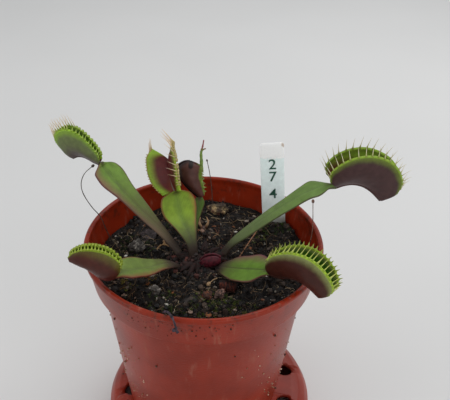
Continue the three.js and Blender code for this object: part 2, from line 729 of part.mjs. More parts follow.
// Plant label: a flat outline that comes to a point, leaning in its own plane
function makeLabel(grow) {
  const half = LABEL_WIDTH / 2 + grow;
  const top = LABEL_TOP + grow;
  const outline = new THREE.Shape();
  outline.moveTo(0, LABEL_POINT - grow);
  outline.lineTo(half, LABEL_SHOULDER);
  outline.lineTo(half, top - 0.8);
  outline.lineTo(half - 0.8, top);
  outline.lineTo(-half + 0.8, top);
  outline.lineTo(-half, top - 0.8);
  outline.lineTo(-half, LABEL_SHOULDER);
  const thickness = LABEL_THICKNESS + 2 * grow;
  const tag = new THREE.ExtrudeGeometry(outline, { depth: thickness, bevelEnabled: false });
  tag.translate(0, 0, -thickness / 2);
  tag.rotateX(Math.PI / 2);
  tag.translate(0, 0, -LABEL_SHOULDER);
  tag.rotateY(radians(-LABEL_LEAN));
  tag.translate(...LABEL_FOOT, LABEL_SHOULDER);
  return solid(indexed(stripped(tag)));
}

// Stalks, straws and sticks, each one bent bar, some with a knob on the end
function makeThread({ radius, knob, points }, grow) {
  const curve = curveThrough(points);
  const steps = 2 * (points.length - 1);
  const body = solid(bar(curve, () => radius, 5, steps, grow));
  if (!knob) {
    return body;
  }
  const head = new THREE.IcosahedronGeometry(knob + grow, 1);
  head.translate(...points[points.length - 1]);
  return body.add(solid(indexed(head)));
}

function makeRootlet(grow) {
  const branches = ROOTLET_BRANCHES.map((points) => (
    solid(bar(curveThrough(points), () => ROOTLET_RADIUS, 5, 4, grow))
  ));
  const node = new THREE.IcosahedronGeometry(0.6 + grow, 1);
  node.translate(...ROOTLET_BRANCHES[0][2]);
  return joined([...branches, solid(indexed(node))]);
}

function makeShootTips(grow) {
  const tips = SHOOT_TIPS.map((points) => (
    solid(bar(curveThrough(points), (u) => SHOOT_RADIUS * (1 - 0.7 * u), 6, 5, grow))
  ));
  const base = new THREE.SphereGeometry(1.5 + grow, 8, 6);
  base.translate(-1.2, 22.4, -12);
  return joined([...tips, solid(base)]);
}

// A loose lump with knocked corners
function makeChip({ at, half, turn }, grow, seed) {
  const random = makeRandom(seed);
  const lump = mergeVertices(stripped(new THREE.IcosahedronGeometry(1, 1)), 1e-4);
  const p = lump.getAttribute('position');
  for (let i = 0; i < p.count; i++) {
    const bump = 0.82 + 0.3 * random();
    p.setXYZ(i, p.getX(i) * bump, p.getY(i) * bump, p.getZ(i) * bump);
  }
  lump.scale(half[0] + grow, half[1] + grow, half[2] + grow);
  lump.rotateZ(radians(turn));
  lump.translate(...at);
  return solid(lump);
}

// Everything, as named meshes in one group
const flytrap = new THREE.Group();

function add(name, body, [colour, roughness]) {
  const material = new THREE.MeshStandardMaterial({ color: colour, roughness, metalness: 0 });
  const mesh = new THREE.Mesh(geometryOf(body), material);
  mesh.name = name;
  flytrap.add(mesh);
}

add('pot', makePot(), FINISHES.terracotta);
add('stand', makeStand(), FINISHES.stand_plastic);

const stemHoles = Object.values(LEAVES).map((leaf) => makeBlade(leaf, CLEARANCE));
const pits = PITS.map((pit) => ellipsoid(pit, 0));
const chipNames = Object.keys(CHIPS);
add('crown', makeCrown([...stemHoles, ...pits]), FINISHES.crown);
add('soil', makeSoil([
  ...stemHoles,
  ...pits,
  crownDome(CLEARANCE),
  makeLabel(CLEARANCE),
  ...Object.values(THREADS).map((thread) => makeThread(thread, CLEARANCE)),
  makeRootlet(CLEARANCE),
  makeShootTips(CLEARANCE),
  ...chipNames.map((name, i) => makeChip(CHIPS[name], CLEARANCE + 0.1, 21 + i)),
]), FINISHES.peat);

Object.entries(LEAVES).forEach(([name, leaf], i) => {
  add(`leaf_${name}`, makeBlade(leaf, 0), FINISHES.leaf);
  const trap = makeTrap(neckOf(leaf), leaf.trap, 41 + i);
  add(`trap_${name}`, cut(trap, [makeBlade(leaf, CLEARANCE)]), FINISHES.trap);
});
const youngNeck = new THREE.Vector3(...YOUNG_LEAF.neck);
const oldNeck = new THREE.Vector3(...OLD_TRAP.neck);
add('young_leaf', makeTrap(youngNeck, YOUNG_LEAF, 31), FINISHES.maroon);
add('old_trap', makeTrap(oldNeck, OLD_TRAP, 32), FINISHES.dried);
add('plant_label', makeLabel(0), FINISHES.label);
for (const [name, thread] of Object.entries(THREADS)) {
  const dark = name.startsWith('moss') || name === 'dark_scrap';
  add(name, makeThread(thread, 0), dark ? FINISHES.moss_stalk : FINISHES.straw);
}
add('rootlet', makeRootlet(0), FINISHES.straw);
add('shoot_tips', makeShootTips(0), FINISHES.straw);
chipNames.forEach((name, i) => {
  add(name, makeChip(CHIPS[name], 0, 21 + i), [CHIPS[name].colour, 0.9]);
});

// Stand it on z = 0, centred on its own box
const box = new THREE.Box3().setFromObject(flytrap);
const middle = box.getCenter(new THREE.Vector3());
for (const mesh of flytrap.children) {
  mesh.geometry.translate(-middle.x, -middle.y, -box.min.z);
}

export default flytrap;
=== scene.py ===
import math
import random

import bmesh
import bpy
from mathutils import Matrix, Vector, noise


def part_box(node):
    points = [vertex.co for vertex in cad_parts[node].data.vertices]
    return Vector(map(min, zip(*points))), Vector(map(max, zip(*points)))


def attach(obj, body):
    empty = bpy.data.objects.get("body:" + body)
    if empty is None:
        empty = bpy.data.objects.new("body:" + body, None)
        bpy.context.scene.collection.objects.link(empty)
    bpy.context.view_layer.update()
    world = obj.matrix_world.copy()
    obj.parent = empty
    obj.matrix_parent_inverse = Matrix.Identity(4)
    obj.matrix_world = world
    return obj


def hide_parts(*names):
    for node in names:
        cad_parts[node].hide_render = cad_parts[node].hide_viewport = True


bl_info = {
    "name": "Potted venus flytrap",
    "version": (1, 0, 0),
    "blender": (4, 5, 0),
    "location": "3D View > Sidebar > Flytrap",
    "description": "Builds a venus flytrap in a nursery pot that stands on an upturned pot",
    "category": "Add Mesh",
}

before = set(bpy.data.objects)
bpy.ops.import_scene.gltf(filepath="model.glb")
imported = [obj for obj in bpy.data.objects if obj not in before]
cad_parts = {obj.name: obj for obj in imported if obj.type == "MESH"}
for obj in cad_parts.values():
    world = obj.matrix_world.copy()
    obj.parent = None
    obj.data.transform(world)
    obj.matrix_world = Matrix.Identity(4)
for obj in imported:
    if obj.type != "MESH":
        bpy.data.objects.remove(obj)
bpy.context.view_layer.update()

# Every shape is worked out in millimetres from the centre of the pot's rim, as the solids are,
# and put in its place in metres when it is finished.
MM = 0.001
POT_LOW, POT_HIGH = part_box("pot")
RIM = Vector(((POT_LOW.x + POT_HIGH.x) / 2, (POT_LOW.y + POT_HIGH.y) / 2, POT_HIGH.z)) / MM
UP = Vector((0, 0, 1))
FULL_TURN = 2 * math.pi
# Where the draws of each kind of small thing start; each trap's teeth start one further on
SEEDS = {
    "crumbs": 11, "fibres": 12, "grains": 13, "specks": 14, "flakes": 15, "moss": 21,
    "crown": 31, "teeth": 41, "comb": 52,
}

# Camera: place in millimetres from the rim's centre, angles in degrees, lens for a 36 mm sensor
CAMERA_PLACE = (7.48, -194.25, 145.01)
CAMERA_PITCH = 33.3626
CAMERA_ROLL = 1.62594
CAMERA_LENS = 51.2

# Pot, in millimetres
POT_HEIGHT = 78
RIM_RADIUS = 45
RIM_CHAMFER = 0.6
LIP_HEIGHT = 2.4
LIP_WIDTH = 2
LIP_UNDERCUT = 0.5
COLLAR_TOP_RADIUS = 44.1
COLLAR_RADIUS = 42.3
COLLAR_HEIGHT = 13.7
COLLAR_STEP = 0.6
INNER_COLLAR_RISE = 1
INNER_BODY_RISE = 0.5
BODY_RADIUS = 39.4
FOOT_RADIUS = 32.1
FOOT_CHAMFER_WIDTH = 1
FOOT_CHAMFER_HEIGHT = 1.2
POT_WALL = 1
FLOOR_THICKNESS = 1.4
POT_DRAINS = 6
POT_DRAIN_RADIUS = 3
POT_DRAIN_RING = 24
POT_DRILL_DEPTH = 6
SPIN_STEPS = 144
ARC_STEPS = 3

# Stand, in millimetres
STAND_HEIGHT = 26
STAND_SHIFT = 3
STAND_TOP_RADIUS = 36.4
STAND_SHOULDER_RADIUS = 44.1
STAND_SHOULDER_DROP = 7
STAND_MOUTH_RADIUS = 46.6
STAND_BEAD_HEIGHT = 3
STAND_BEAD_WIDTH = 1.6
STAND_WALL = 1.8
# Points on the round of its shoulder, outside and inside: out from the top's edge, and down
STAND_ROUND = [(3.2, 0.9), (5.9, 3.4)]
STAND_INNER_ROUND = [(3.6, 4.2), (-1, STAND_WALL)]
DRAIN_COUNT = 12
DRAIN_FIRST_AZIMUTH = 11
DRAIN_RING = 34.2
DRAIN_RADIUS = 3.5
DRILL_DEPTH = 9
CHANNEL_WIDTH = 4.4
CHANNEL_DEPTH = 1
CHANNEL_LENGTH = 12
CHANNEL_SLOPE = 22

# Soil, in millimetres. Each mound: x, y, radius, height
CLEARANCE = 0.3
SOIL_LEVEL = -11.3
MOUNDS = [
    (28, 24, 8, 2.5), (33, 8, 8, 1.0), (4, -25, 9, 1.2), (-27, 6, 8, 1.3),
    (-24, -18, 6, 1.0), (-2, -4, 8, 1.2), (3, 31, 9, 1.0),
]
RIPPLE_COUNT = 7
RIPPLE_HEIGHT = 0.13
RIPPLE_SEED = 7
CLOD_HEIGHT = 2.1
GRIT_HEIGHT = 0.8
# Beside the wall the peat is calmer: it eases between these radii, down to this share
CALM_RADII = (41, 37)
CALM = 0.35
SOIL_STEPS = 240
# Hollows where the young leaf and the old trap lie: centre and half sizes
PITS = [
    ((2.8, -5.2, -8.4), (6.6, 3.4, 3.6)),
    ((9.6, -16.6, -9.6), (5.6, 4.8, 3.2)),
]
# Patches of moss: x, y, radius, how many tufts, tone from 0 (dark green) to 1 (orange)
MOSS_PATCHES = [
    (29, 24, 8, 120, 0.25), (20, 17, 6, 60, 0.35), (4, -27, 9, 110, 0.4), (-27, 6, 8, 90, 0.2),
    (-27, -17, 4, 34, 0.7), (-20, -13.3, 3, 26, 0.85), (33, 6, 6, 50, 0.3), (-8, 24, 9, 60, 0.15),
    (16, -29, 6, 50, 0.45), (-10, -33, 6, 40, 0.3), (-14, -24, 6, 40, 0.3),
]
MOSS_REACH = 39.5
TUFT_LEAVES = 5
TUFT_SIZES = (0.6, 1.5)

# Loose things on the soil: how far from the middle of the pot they lie, and their sizes
CRUMB_REACH = 40.4
CRUMB_SIZES = (0.25, 1.2)
FIBRE_REACH = 39.5
FIBRE_LENGTHS = (1.6, 7.5)
FIBRE_RADII = (0.05, 0.16)
FIBRE_LIFT = 1.6
FLAKE_REACH = 37
FLAKE_SIZES = (0.5, 1.5)
FLAKE_HALF_THICKNESS = 0.28
GRAIN_REACH = 40
GRAIN_SIZES = (0.14, 0.7)
# Specks of soil on the pot. Each kind: the stretches of azimuth, the height that they start
# from, how far they spread from it and the power that gathers them there, the largest size,
# and the range of tones. SPECK_ORDER is the kind of each in turn.
SPECK_KINDS = {
    "low": ([(195, 235), (295, 350)], -64, 40, 1.5, 0.42, (0.7, 1)),
    "lip": ([(232, 285)], -LIP_HEIGHT - 1, -7, 2, 0.34, (0, 0.5)),
    "anywhere": ([(0, 360)], -LIP_HEIGHT, -70, 1, 0.6, (0, 0.7)),
}
SPECK_ORDER = ["low", "low", "low", "low", "low", "lip", "lip", "anywhere"]
SMALLEST_SPECK = 0.12
POT_SPECKS = 230
# Specks on the stand: how many, their sizes, and how many degrees they keep from each drain
STAND_SPECKS = 60
STAND_SPECK_SIZES = (0.2, 0.8)
DRAIN_BERTH = 8
# A turn in radians and a shift of the noise, that a draw takes a share of for each lump
LUMP_TURN = 6.3
LUMP_SHIFT = 50
# The material's slot, its roughness, whether the faces are smooth, and the row of colours
# that the tones are read from
LITTER = {
    "peat_crumbs": ("peat", 0.8, False, [
        (0.1, 0x0b0908), (0.45, 0x1b1512), (0.65, 0x3a2d24), (0.82, 0x66523f), (1.0, 0x9c8a70)]),
    "peat_fibres": ("peat", 0.8, True, [
        (0.0, 0x120c0a), (0.35, 0x2e2119), (0.6, 0x5e4630), (0.82, 0x947856), (1.0, 0xcdbb98)]),
    "bark_crumbs": ("bark", 0.8, True, [
        (0.0, 0x1e1714), (0.35, 0x453830), (0.65, 0x75655a), (0.86, 0xa09486), (0.94, 0x6a3a22),
        (1.0, 0x8a5028)]),
    "pale_grains": ("stone", 0.5, True, [
        (0.0, 0x5c554c), (0.6, 0x8f877a), (0.9, 0xc2bcb0), (1.0, 0xe6e2da)]),
    "soil_specks": ("peat", 0.8, False, [
        (0.0, 0x1d130f), (0.45, 0x4a2f22), (0.75, 0x8f6a50), (1.0, 0xd0b8a2)]),
    "moss_tufts": ("leaf", 0.6, False, [
        (0.0, 0x20291a), (0.3, 0x3f5024), (0.55, 0x68752f), (0.8, 0x8a7430), (1.0, 0x8f5428)]),
    "crown_crumbs": ("peat", 0.8, False, [
        (0.0, 0x0d0908), (0.6, 0x241815), (0.85, 0x40221d), (1.0, 0x5c2e25)]),
    "dead_bases": ("dry_stem", 0.8, True, [
        (0.0, 0x140d0b), (0.5, 0x35201a), (0.8, 0x6a3c2a), (1.0, 0xa07a58)]),
}

# Leaf blades and traps, in millimetres
BLADE_EDGE = 0.65
BLADE_MIDDLE = 1.3
LOBE_THICKNESS = 0.8
MIDRIB_RADII = (0.95, 0.6)
HORN_RADIUS = 0.75
HORN_TIP_RADIUS = 0.35
# Where the turns of the skin map start for the lobe at way -1
OTHER_LOBE = 2
# Steps of the fine meshes, around and along
BLADE_STEPS = (48, 72)
LOBE_STEPS = (36, 44)
SMALL_LOBE_STEPS = (24, 24)

# Each leaf. root: x and y of the stem; azimuth: the way the leaf runs, in degrees.
# stalk: points along the leaf blade: run from the root, height and half width.
# roll and fold: the blade's tilt about its own length, and the rise of its two halves.
# trap: forward and opens are azimuth and elevation in degrees; midrib and margin are points
# forward and outward from the neck; gape is half the gap between the two margins,
# bulge is the swell of each lobe. flare and narrow widen the end and draw in the middle of the
# lobe at way -1, spread opens the other lobe near the neck, and horn and fork are a spur that
# rises past the lobes. teeth: each row has its lobe (1 or -1), the shares of the
# margin where it starts and ends, a count, the first and last length, the lean across the
# opening and the lean upwards.
LEAVES = {
    "far_left": {
        "root": (-6.3, -1.2), "azimuth": 150, "roll": 4, "fold": 8, "stem": 2.4,
        "stalk": [(0, -15, 1.5), (2.5, -10.4, 1.6), (9.3, -3.2, 2.1), (19, 4, 3.6),
                  (28.8, 11.3, 5.5), (34.8, 15.9, 6.9), (37.6, 18.2, 6.4), (39.2, 19.4, 3),
                  (40, 20, 1)],
        "trap": {
            "forward": (168, 25), "opens": (168, 115), "gape": 1.4, "bulge": 2.4,
            "teeth": [(1, 0.03, 0.52, 11, 1.2, 1.6, 0.7, 0), (-1, 0.03, 0.52, 11, 1.2, 1.6, 0.7, 0),
                      (1, 0.55, 0.93, 10, 4.4, 5.2, 0.1, 0.35),
                      (-1, 0.48, 0.95, 12, 5, 6, -0.1, 0.6)],
            "midrib": [(0, 0), (3, -0.5), (6, -0.5), (8.7, -1.6), (10.6, -4)],
            "margin": [(1, 2.2), (2.5, 4.2), (5.5, 6), (9, 7.5), (12.5, 8.3), (16, 8),
                       (18.5, 6.2), (19.8, 3.2), (18.9, 0.2), (16.5, -1.3)],
        },
    },
    "centre": {
        "root": (-3, -3.2), "azimuth": 118, "roll": 0, "fold": 6, "stem": 2.4,
        "stalk": [(1.6, -15, 1.7), (1.9, -11, 1.8), (2.6, -5.4, 1.9), (4.6, -1.9, 2.5),
                  (8.1, 0.7, 3.9), (11.5, 2.7, 5.6), (14.3, 4.9, 6.9), (16.2, 7.7, 7.2),
                  (17.4, 10.2, 6.2), (17.9, 11.6, 3.8), (18.2, 12.4, 1.1)],
        "trap": {
            "forward": (94.5, 41.4), "opens": (217, 31), "gape": 8.9, "bulge": -1,
            "flare": 2, "narrow": 1.8,
            "teeth": [(1, 0.06, 0.84, 16, 0.4, 0.6, 0.1, 0), (1, 0.9, 0.99, 4, 4.4, 5.4, 0.9, 1.4),
                      (-1, 0.2, 0.62, 4, 3.4, 5, 1.8, 0.3), (-1, 0.08, 0.92, 16, 1.2, 1.2, 1.6, 0),
                      (-1, 0.64, 0.99, 8, 5.4, 6.6, 1.8, 1.1)],
            "midrib": [(0, 0), (3.7, 1.9), (8.4, 2.8), (10.8, 2.3)],
            "margin": [(-1.7, 2.1), (2, 4.6), (5.6, 6), (10.4, 7.4), (14, 8.3), (16.5, 7.5)],
        },
    },
    "back": {
        "root": (-4.8, 6.5), "azimuth": 80.5, "roll": 0, "fold": 6, "stem": 1.9,
        "stalk": [(0, -15, 1.4), (0.4, -10.4, 1.4), (2.2, -5.5, 1.3), (5.8, -1.5, 1.2),
                  (9.5, 1.4, 1.8), (12.2, 3.7, 2.3), (13.6, 5.1, 1.1)],
        "trap": {
            "forward": (90, 70), "opens": (0, 0), "gape": 0.9, "bulge": 2.8,
            "horn": [(10.6, 0.4), (14.5, 0.3), (17.5, 0.1), (18.8, 0.25), (20.3, 0.65),
                     (22.9, 1.05)],
            "fork": [(18.4, 0.2), (19.2, 1), (19.6, 1.9)],
            "teeth": [(1, 0.04, 0.95, 9, 1.5, 0.8, 0, 0), (-1, 0.04, 0.95, 9, 1.5, 0.8, 0, 0)],
            "midrib": [(0, 0), (3.5, -4.2), (8, -7.9), (12, -8.8), (13.9, -6.6), (14.3, -4.2)],
            "margin": [(1, 1.6), (4, 1.4), (7.5, 0.7), (9.5, 0.55), (11.2, 0.5), (12.4, 0.45)],
        },
    },
    "far_right": {
        "root": (4.6, -0.2), "azimuth": 18, "roll": 10, "fold": 5, "stem": 2.4,
        "stalk": [(0.5, -15, 1.5), (2.3, -9.9, 1.6), (5.9, -4.3, 1.6), (10.6, -0.6, 2.2),
                  (19.6, 5.4, 2.8), (28.4, 10.7, 3.2), (34.5, 14.2, 3.9), (38.5, 15.6, 4.2),
                  (42, 16, 2.9), (44.5, 15.8, 1.3), (47.8, 15.3, 0.9)],
        "trap": {
            "forward": (8, 0), "opens": (8, 90), "gape": 3, "bulge": 2.6,
            "spread": 2.6,
            "teeth": [(-1, 0.03, 0.97, 18, 4, 3.6, 0.45, 0.1),
                      (1, 0.03, 0.97, 18, 5, 4.6, -0.1, 0.3)],
            "midrib": [(0, 0), (2.3, 0.7), (5, 1.1), (8.2, 0.7), (11.7, -0.8), (14.8, -3.3),
                       (18.6, -7.4)],
            "margin": [(-3.4, 3.4), (-3.6, 7.4), (-0.8, 11), (4, 13.8), (10, 14.8),
                       (15, 13.8), (20, 11), (23.7, 6.4), (25.6, 1), (24.6, -3.2)],
        },
    },
    "near_right": {
        "root": (3.5, -4.5), "azimuth": -38, "roll": 18, "fold": 6, "stem": 2,
        "stalk": [(2.2, -15, 1.2), (2.3, -11.6, 1.3), (3.3, -9.4, 2.1), (5.4, -7.9, 3.3),
                  (9, -6, 4.8), (13.2, -4.1, 6.2), (17.6, -1.9, 6.7), (21.6, -0.1, 5.6),
                  (24.3, 0.6, 2.8), (26, 0.4, 1)],
        "trap": {
            "forward": (-32, 0), "opens": (-32, 90), "gape": 2.6, "bulge": 2.8,
            "teeth": [(-1, 0.03, 0.97, 21, 3.2, 3.4, 0.9, 0),
                      (1, 0.03, 0.97, 21, 2.4, 2.2, -0.1, 0.2)],
            "midrib": [(0, 0), (2.5, 0), (5, 0.9), (7.9, 2), (10.8, 2.4), (13.4, 2),
                       (16, 0.7), (19, -1.1)],
            "margin": [(-1.2, 5.4), (1, 9.4), (5, 12.8), (9, 14.8), (13, 15.5), (17, 14.9),
                       (20.5, 12.9), (23.2, 9.8), (24.6, 6.4), (23.6, 3)],
        },
    },
    "near_left": {
        "root": (-8, -4), "azimuth": 228, "roll": -14, "fold": 16, "stem": 2,
        "stalk": [(0.9, -15, 1.2), (1.3, -11.5, 1.3), (3.5, -8.8, 1.5), (7.1, -5.9, 2.3),
                  (11.3, -3.7, 3), (17.2, -1, 4.3), (22.9, 1.8, 5.2), (26.8, 3.4, 4.8),
                  (29.8, 3.6, 2.7), (31.8, 3, 1)],
        "trap": {
            "forward": (182, 0), "opens": (182, 90), "gape": 1, "bulge": 2.6,
            "teeth": [(1, 0.03, 0.97, 19, 1.5, 1.5, 0.6, 0),
                      (-1, 0.03, 0.97, 19, 1.5, 1.5, 0.6, 0)],
            "midrib": [(0, 0), (2.5, -1), (5, 0.2), (8, 3), (10.8, 5), (13.6, 6.9)],
            "margin": [(-2.2, 3.3), (-2.4, 6.6), (-0.3, 9.6), (2.5, 11.5), (5.5, 12.3),
                       (8.2, 12.4), (11, 11.7), (13.2, 10.3), (14.4, 8.6)],
        },
    },
}

# A new leaf still folded up, and an old dried trap lying on the soil with a comb of threads
YOUNG_LEAF = {
    "neck": (-1.3, -5.1, -9.8),
    "forward": (4, 12), "opens": (4, 102), "gape": 0.7, "bulge": 1.5,
    "midrib": [(0, 0), (2.5, -0.8), (5.5, -0.6), (8, 0.5)],
    "margin": [(0.2, 2.2), (2.4, 4), (4.8, 4.3), (7, 3.7), (8.4, 2.2)],
}
OLD_TRAP = {
    "neck": (6.2, -15.2, -9.3),
    "forward": (-6, 0), "opens": (264, -30), "gape": 1, "bulge": 0.8,
    "midrib": [(0, 0), (2.2, -0.5), (4.5, -0.5), (6.8, 0)],
    "margin": [(0.2, 1.6), (2, 2.6), (4.6, 2.7), (6.6, 1.8)],
}
COMB_THREADS = 12
COMB_RADIUS = 0.13

# Crown: each scale has its azimuth, reach from the centre, height of its tip, width at its root
CROWN_CENTRE = (-1.6, -1.4)
CROWN_HALF = (7.4, 6, 2.6)
CROWN_BITS = 34
CROWN_CRUMBS = 420
CROWN_CRUMB_SIZES = (0.25, 1.2)
DEAD_BASES = 70
DEAD_BASES_CENTRE = (4.5, 12.5)
DEAD_BASES_HALF = (6.5, 6)
CROWN_SCALES = [
    (-8, 11, 2.2, 2.4), (10, 12.6, 2.4, 2.6), (33, 9.6, 2.8, 2), (76, 9.4, 3, 1.8),
    (132, 9, 2.4, 1.8), (176, 9.6, 2.2, 2), (232, 11.4, 1.8, 2.2), (250, 11.6, 1.4, 2.2),
    (266, 9.6, 1.8, 2),
]

# Plant label: a flat upright tag that leans a little to the left, its point in the soil
LABEL_FOOT = (28.1, 23.6)
LABEL_LEAN = 5
LABEL_WIDTH = 9.4
LABEL_THICKNESS = 0.8
LABEL_TOP = 28.6
LABEL_SHOULDER = -9
LABEL_POINT = -13.9
LABEL_CORNER = 0.8
LABEL_BEVEL = 0.16
LABEL_CUTS = 12
NUMBER_SIZE = 6.4
NUMBER_START = 11.5
NUMBER_STEP = 5.6
SPACE_STEP = 2.4

# Thin things: points along each, with a radius, a knob at the far end, and its colours and
# their grain. slim is the share of the radius that shows, ripple is how knotty it is, and
# lumps are a share along it, a shift, half sizes, a turn and a seed.
THREAD_SLIM = 0.6
THREAD_RIPPLE = 0.12
THREADS = {
    "moss_stalk_left": {
        "radius": 0.34, "knob": 0.62, "colours": (0x2c2724, 0x55493f),
        "points": [(-36.4, 9.8, -13.4), (-39.2, 10, -5), (-41, 10, 1.2), (-43.9, 10, 5.6),
                   (-46.7, 10, 12), (-46.9, 10, 16.4), (-45.2, 10, 20.6), (-41.8, 10, 24)],
    },
    "moss_stalk_right": {
        "radius": 0.34, "knob": 0.66, "colours": (0x4d3a33, 0x8a6a5c),
        "points": [(37, 3.4, -13.4), (40, 2.2, -5), (40.7, 1.4, 3), (39.6, 1, 17)],
    },
    "moss_stalk_back": {
        "radius": 0.34, "knob": 0.45, "colours": (0x3a2f2a, 0x6b5548),
        "points": [(2.4, 36.2, -13), (1.6, 37.6, -2), (0.6, 38, 6), (-0.5, 38, 11.6)],
    },
    "straw": {
        "radius": 0.42, "knob": 0, "colours": (0x7a4c38, 0xb88a68),
        "points": [(13.6, 2.5, -11.2), (18.6, 10.6, -7.7), (23.6, 19, -5)],
    },
    "pale_stick": {
        "radius": 0.4, "knob": 0.85, "colours": (0x7c6248, 0xb89a74),
        "points": [(5.4, -12, -9.8), (4, -13.6, -9.3), (2.4, -16, -9.2)],
    },
    "dark_scrap": {
        "radius": 0.45, "knob": 0, "colours": (0x17131a, 0x544650, 0.9), "slim": 1, "ripple": 0.3,
        "points": [(-12.2, -35.4, -12.6), (-11.9, -39.4, -2.6), (-10, -42.2, 1.1),
                   (-8, -45.4, 1.1), (-6.9, -47, -1.4), (-6.5, -47, -3)],
        "lumps": [(0.84, (-0.7, 0, -0.2), (0.8, 0.45, 0.7), 0.4, 7),
                  (0.98, (0, 0, 0), (0.5, 0.4, 0.6), 0, 9)],
    },
}
ROOTLET_RADIUS = 0.38
ROOTLET_BRANCHES = [
    [(-16.6, 11.4, -9.6), (-16.2, 8.6, -9.3), (-16, 7.2, -9.3)],
    [(-16, 7.2, -9.3), (-17.6, 6.2, -9.4), (-18.8, 4, -9.9)],
    [(-16, 7.2, -9.3), (-13.6, 5.8, -9.4), (-11.4, 4.4, -9.8)],
]
SHOOT_TIPS = [
    [(-1.9, 22.4, -12), (-2.9, 22.4, -9), (-2.45, 22.4, -6.6)],
    [(-0.5, 22.4, -12), (0.75, 22.4, -8.9), (0.1, 22.4, -6.3)],
]
SHOOT_RADIUS = 0.7

# Loose pieces lying in the soil: slot, centre, half sizes, turn in degrees, and the two colours
# and the grain of their pattern
CHIPS = {
    "bark_flake": ("bark", (-22.9, 14.2, -9.9), (3.4, 3.2, 0.7), 20, (0x3a3134, 0x6a5c5e, 1)),
    "grey_stone": ("stone", (-26.6, 5, -8.9), (2.9, 3, 1.7), -15, (0x5a544e, 0xa09a90, 1)),
    "coir_chunk": ("bark", (4.7, 31.6, -8.8), (4.3, 2.8, 2.5), 6, (0x55281c, 0xb59d70, 0.35)),
    "pale_scrap": ("stone", (-17.2, -19.4, -9.9), (1.9, 2.6, 1.1), 30, (0x5f5852, 0xc9c0b4, 1)),
    "orange_chip": ("bark", (2, -21.6, -9.5), (2, 1.9, 1), 10, (0x5a2612, 0xa0562a, 1)),
    "pink_chip": ("bark", (6.6, -21.2, -9.3), (1.7, 2.3, 1.1), -20, (0x6a463c, 0xb08674, 1)),
}

# The leaf stalks' colours: top, underside, edge, foot, midrib and its half width, flush, and
# the side and reach of the flush
LEAF_COLOURS = {
    "far_left": (0x6f9034, 0x6b6248, 0x5a2830, 0x6e5e4c, 0x4f5a34, 0.3, 0x80544a, 1, 0.85),
    "centre": (0x84a030, 0x7a6a38, 0x74382c, 0x3f372f, 0x4f6a3a, 0.4, 0x946a34, -1, 0.4),
    "back": (0x55702c, 0x5a5030, 0x4a2420, 0x3a2824, 0x4c5a38, 0.2, 0x6a5a30, 1, 0.3),
    "far_right": (0x6f8c46, 0x5c7a3c, 0x4a3c2c, 0x5f6a44, 0x64784a, 0.2, 0x6e8440, 1, 0.3),
    "near_right": (0x64862c, 0x66702c, 0x6a3040, 0x4a3a2c, 0x42482a, 0.12, 0x7a4c50, 1, 0.7),
    "near_left": (0x70853c, 0x7e4430, 0x6c3028, 0x4a3428, 0x5f6a3c, 0.2, 0x804a30, 1, 0.6),
}

# The teeth's colours, at the root and at the tip
TEETH_COLOURS = {
    "far_left": (0x90a83c, 0xd9c2a2), "centre": (0xb0a065, 0xdcc2a4),
    "back": (0x7f8a3c, 0xb08474), "far_right": (0x9aa055, 0xd6ccb0),
    "near_right": (0x93a838, 0xc3c468), "near_left": (0x8fa02c, 0xa8b048),
}

# The traps' own colours. skin: the outer skin; rib: beside the midrib, as far out as reach;
# band: along the margin from the share start, or other on the lobe at way -1, with a fade;
# it is wider by widen at the two ends and narrower by drift towards the tip; lip: the margin's
# own edge; inside: the inner skin; deep: the inner skin near the neck, as far as depth;
# spot: x, z and size of a dark bruise.
TRAP_COLOURS = {
    "far_left": {"skin": 0x5e6840, "rib": 0x524444, "reach": 0.7, "band": 0x7d9c38,
                 "start": 0.88, "other": 0.88, "fade": 0.14, "widen": 0.1, "lip": 0x98c034,
                 "inside": 0x6f9428, "deep": 0x6a4030, "depth": 0.75},
    "centre": {"skin": 0x6f8234, "rib": 0x6e6860, "reach": 0.12, "band": 0x8fb238,
               "start": 0.95, "other": 1.06, "fade": 0.34, "widen": 0.34, "lip": 0x9db63c,
               "inside": 0x4d1a18, "deep": 0x6a3018, "depth": 0.7},
    "back": {"skin": 0x50302a, "rib": 0x281616, "reach": 0.3, "band": 0x6f8a30,
             "start": 0.90, "other": 0.90, "fade": 0.10, "widen": 0, "lip": 0x84a038,
             "inside": 0x4e1a1a, "deep": 0x3a1414, "depth": 0.7, "spot": (-6.3, 18.4, 1.3)},
    "far_right": {"skin": 0x402a29, "rib": 0x4a3130, "reach": 0.2, "band": 0x6a7c2a,
                  "start": 0.91, "other": 0.91, "fade": 0.16, "widen": 0.05, "lip": 0x8aa834,
                  "inside": 0x7f9c34, "deep": 0x6a4030, "depth": 1.2},
    "near_right": {"skin": 0x3c1c15, "rib": 0x442822, "reach": 0.2, "band": 0x8c955a,
                   "start": 0.93, "other": 0.93, "fade": 0.22, "widen": 0.05, "lip": 0xa0c034,
                   "inside": 0x3f6a1c, "deep": 0x3a2a18, "depth": 0.7},
    "near_left": {"skin": 0x431f18, "rib": 0x54241e, "reach": 0.3, "band": 0x78802e,
                  "start": 1.0, "other": 1.0, "fade": 0.5, "widen": 0, "drift": 0.25,
                  "lip": 0x9cbc34,
                  "inside": 0x6d8035, "deep": 0x4a3a20, "depth": 0.7},
}


def tint(code):
    """A colour written as 0xRRGGBB, as the shader's linear red, green, blue and alpha."""
    parts = [((code >> shift) & 255) / 255 for shift in (16, 8, 0)]
    linear = [p / 12.92 if p <= 0.04045 else ((p + 0.055) / 1.055) ** 2.4 for p in parts]
    return (*linear, 1)


def clamp(value, low=0.0, high=1.0):
    return max(low, min(high, value))


def lerp(a, b, share):
    return a + (b - a) * share


def smooth(low, high, value):
    """0 below low, 1 above high, and an even ease between them."""
    share = clamp((value - low) / (high - low))
    return share * share * (3 - 2 * share)


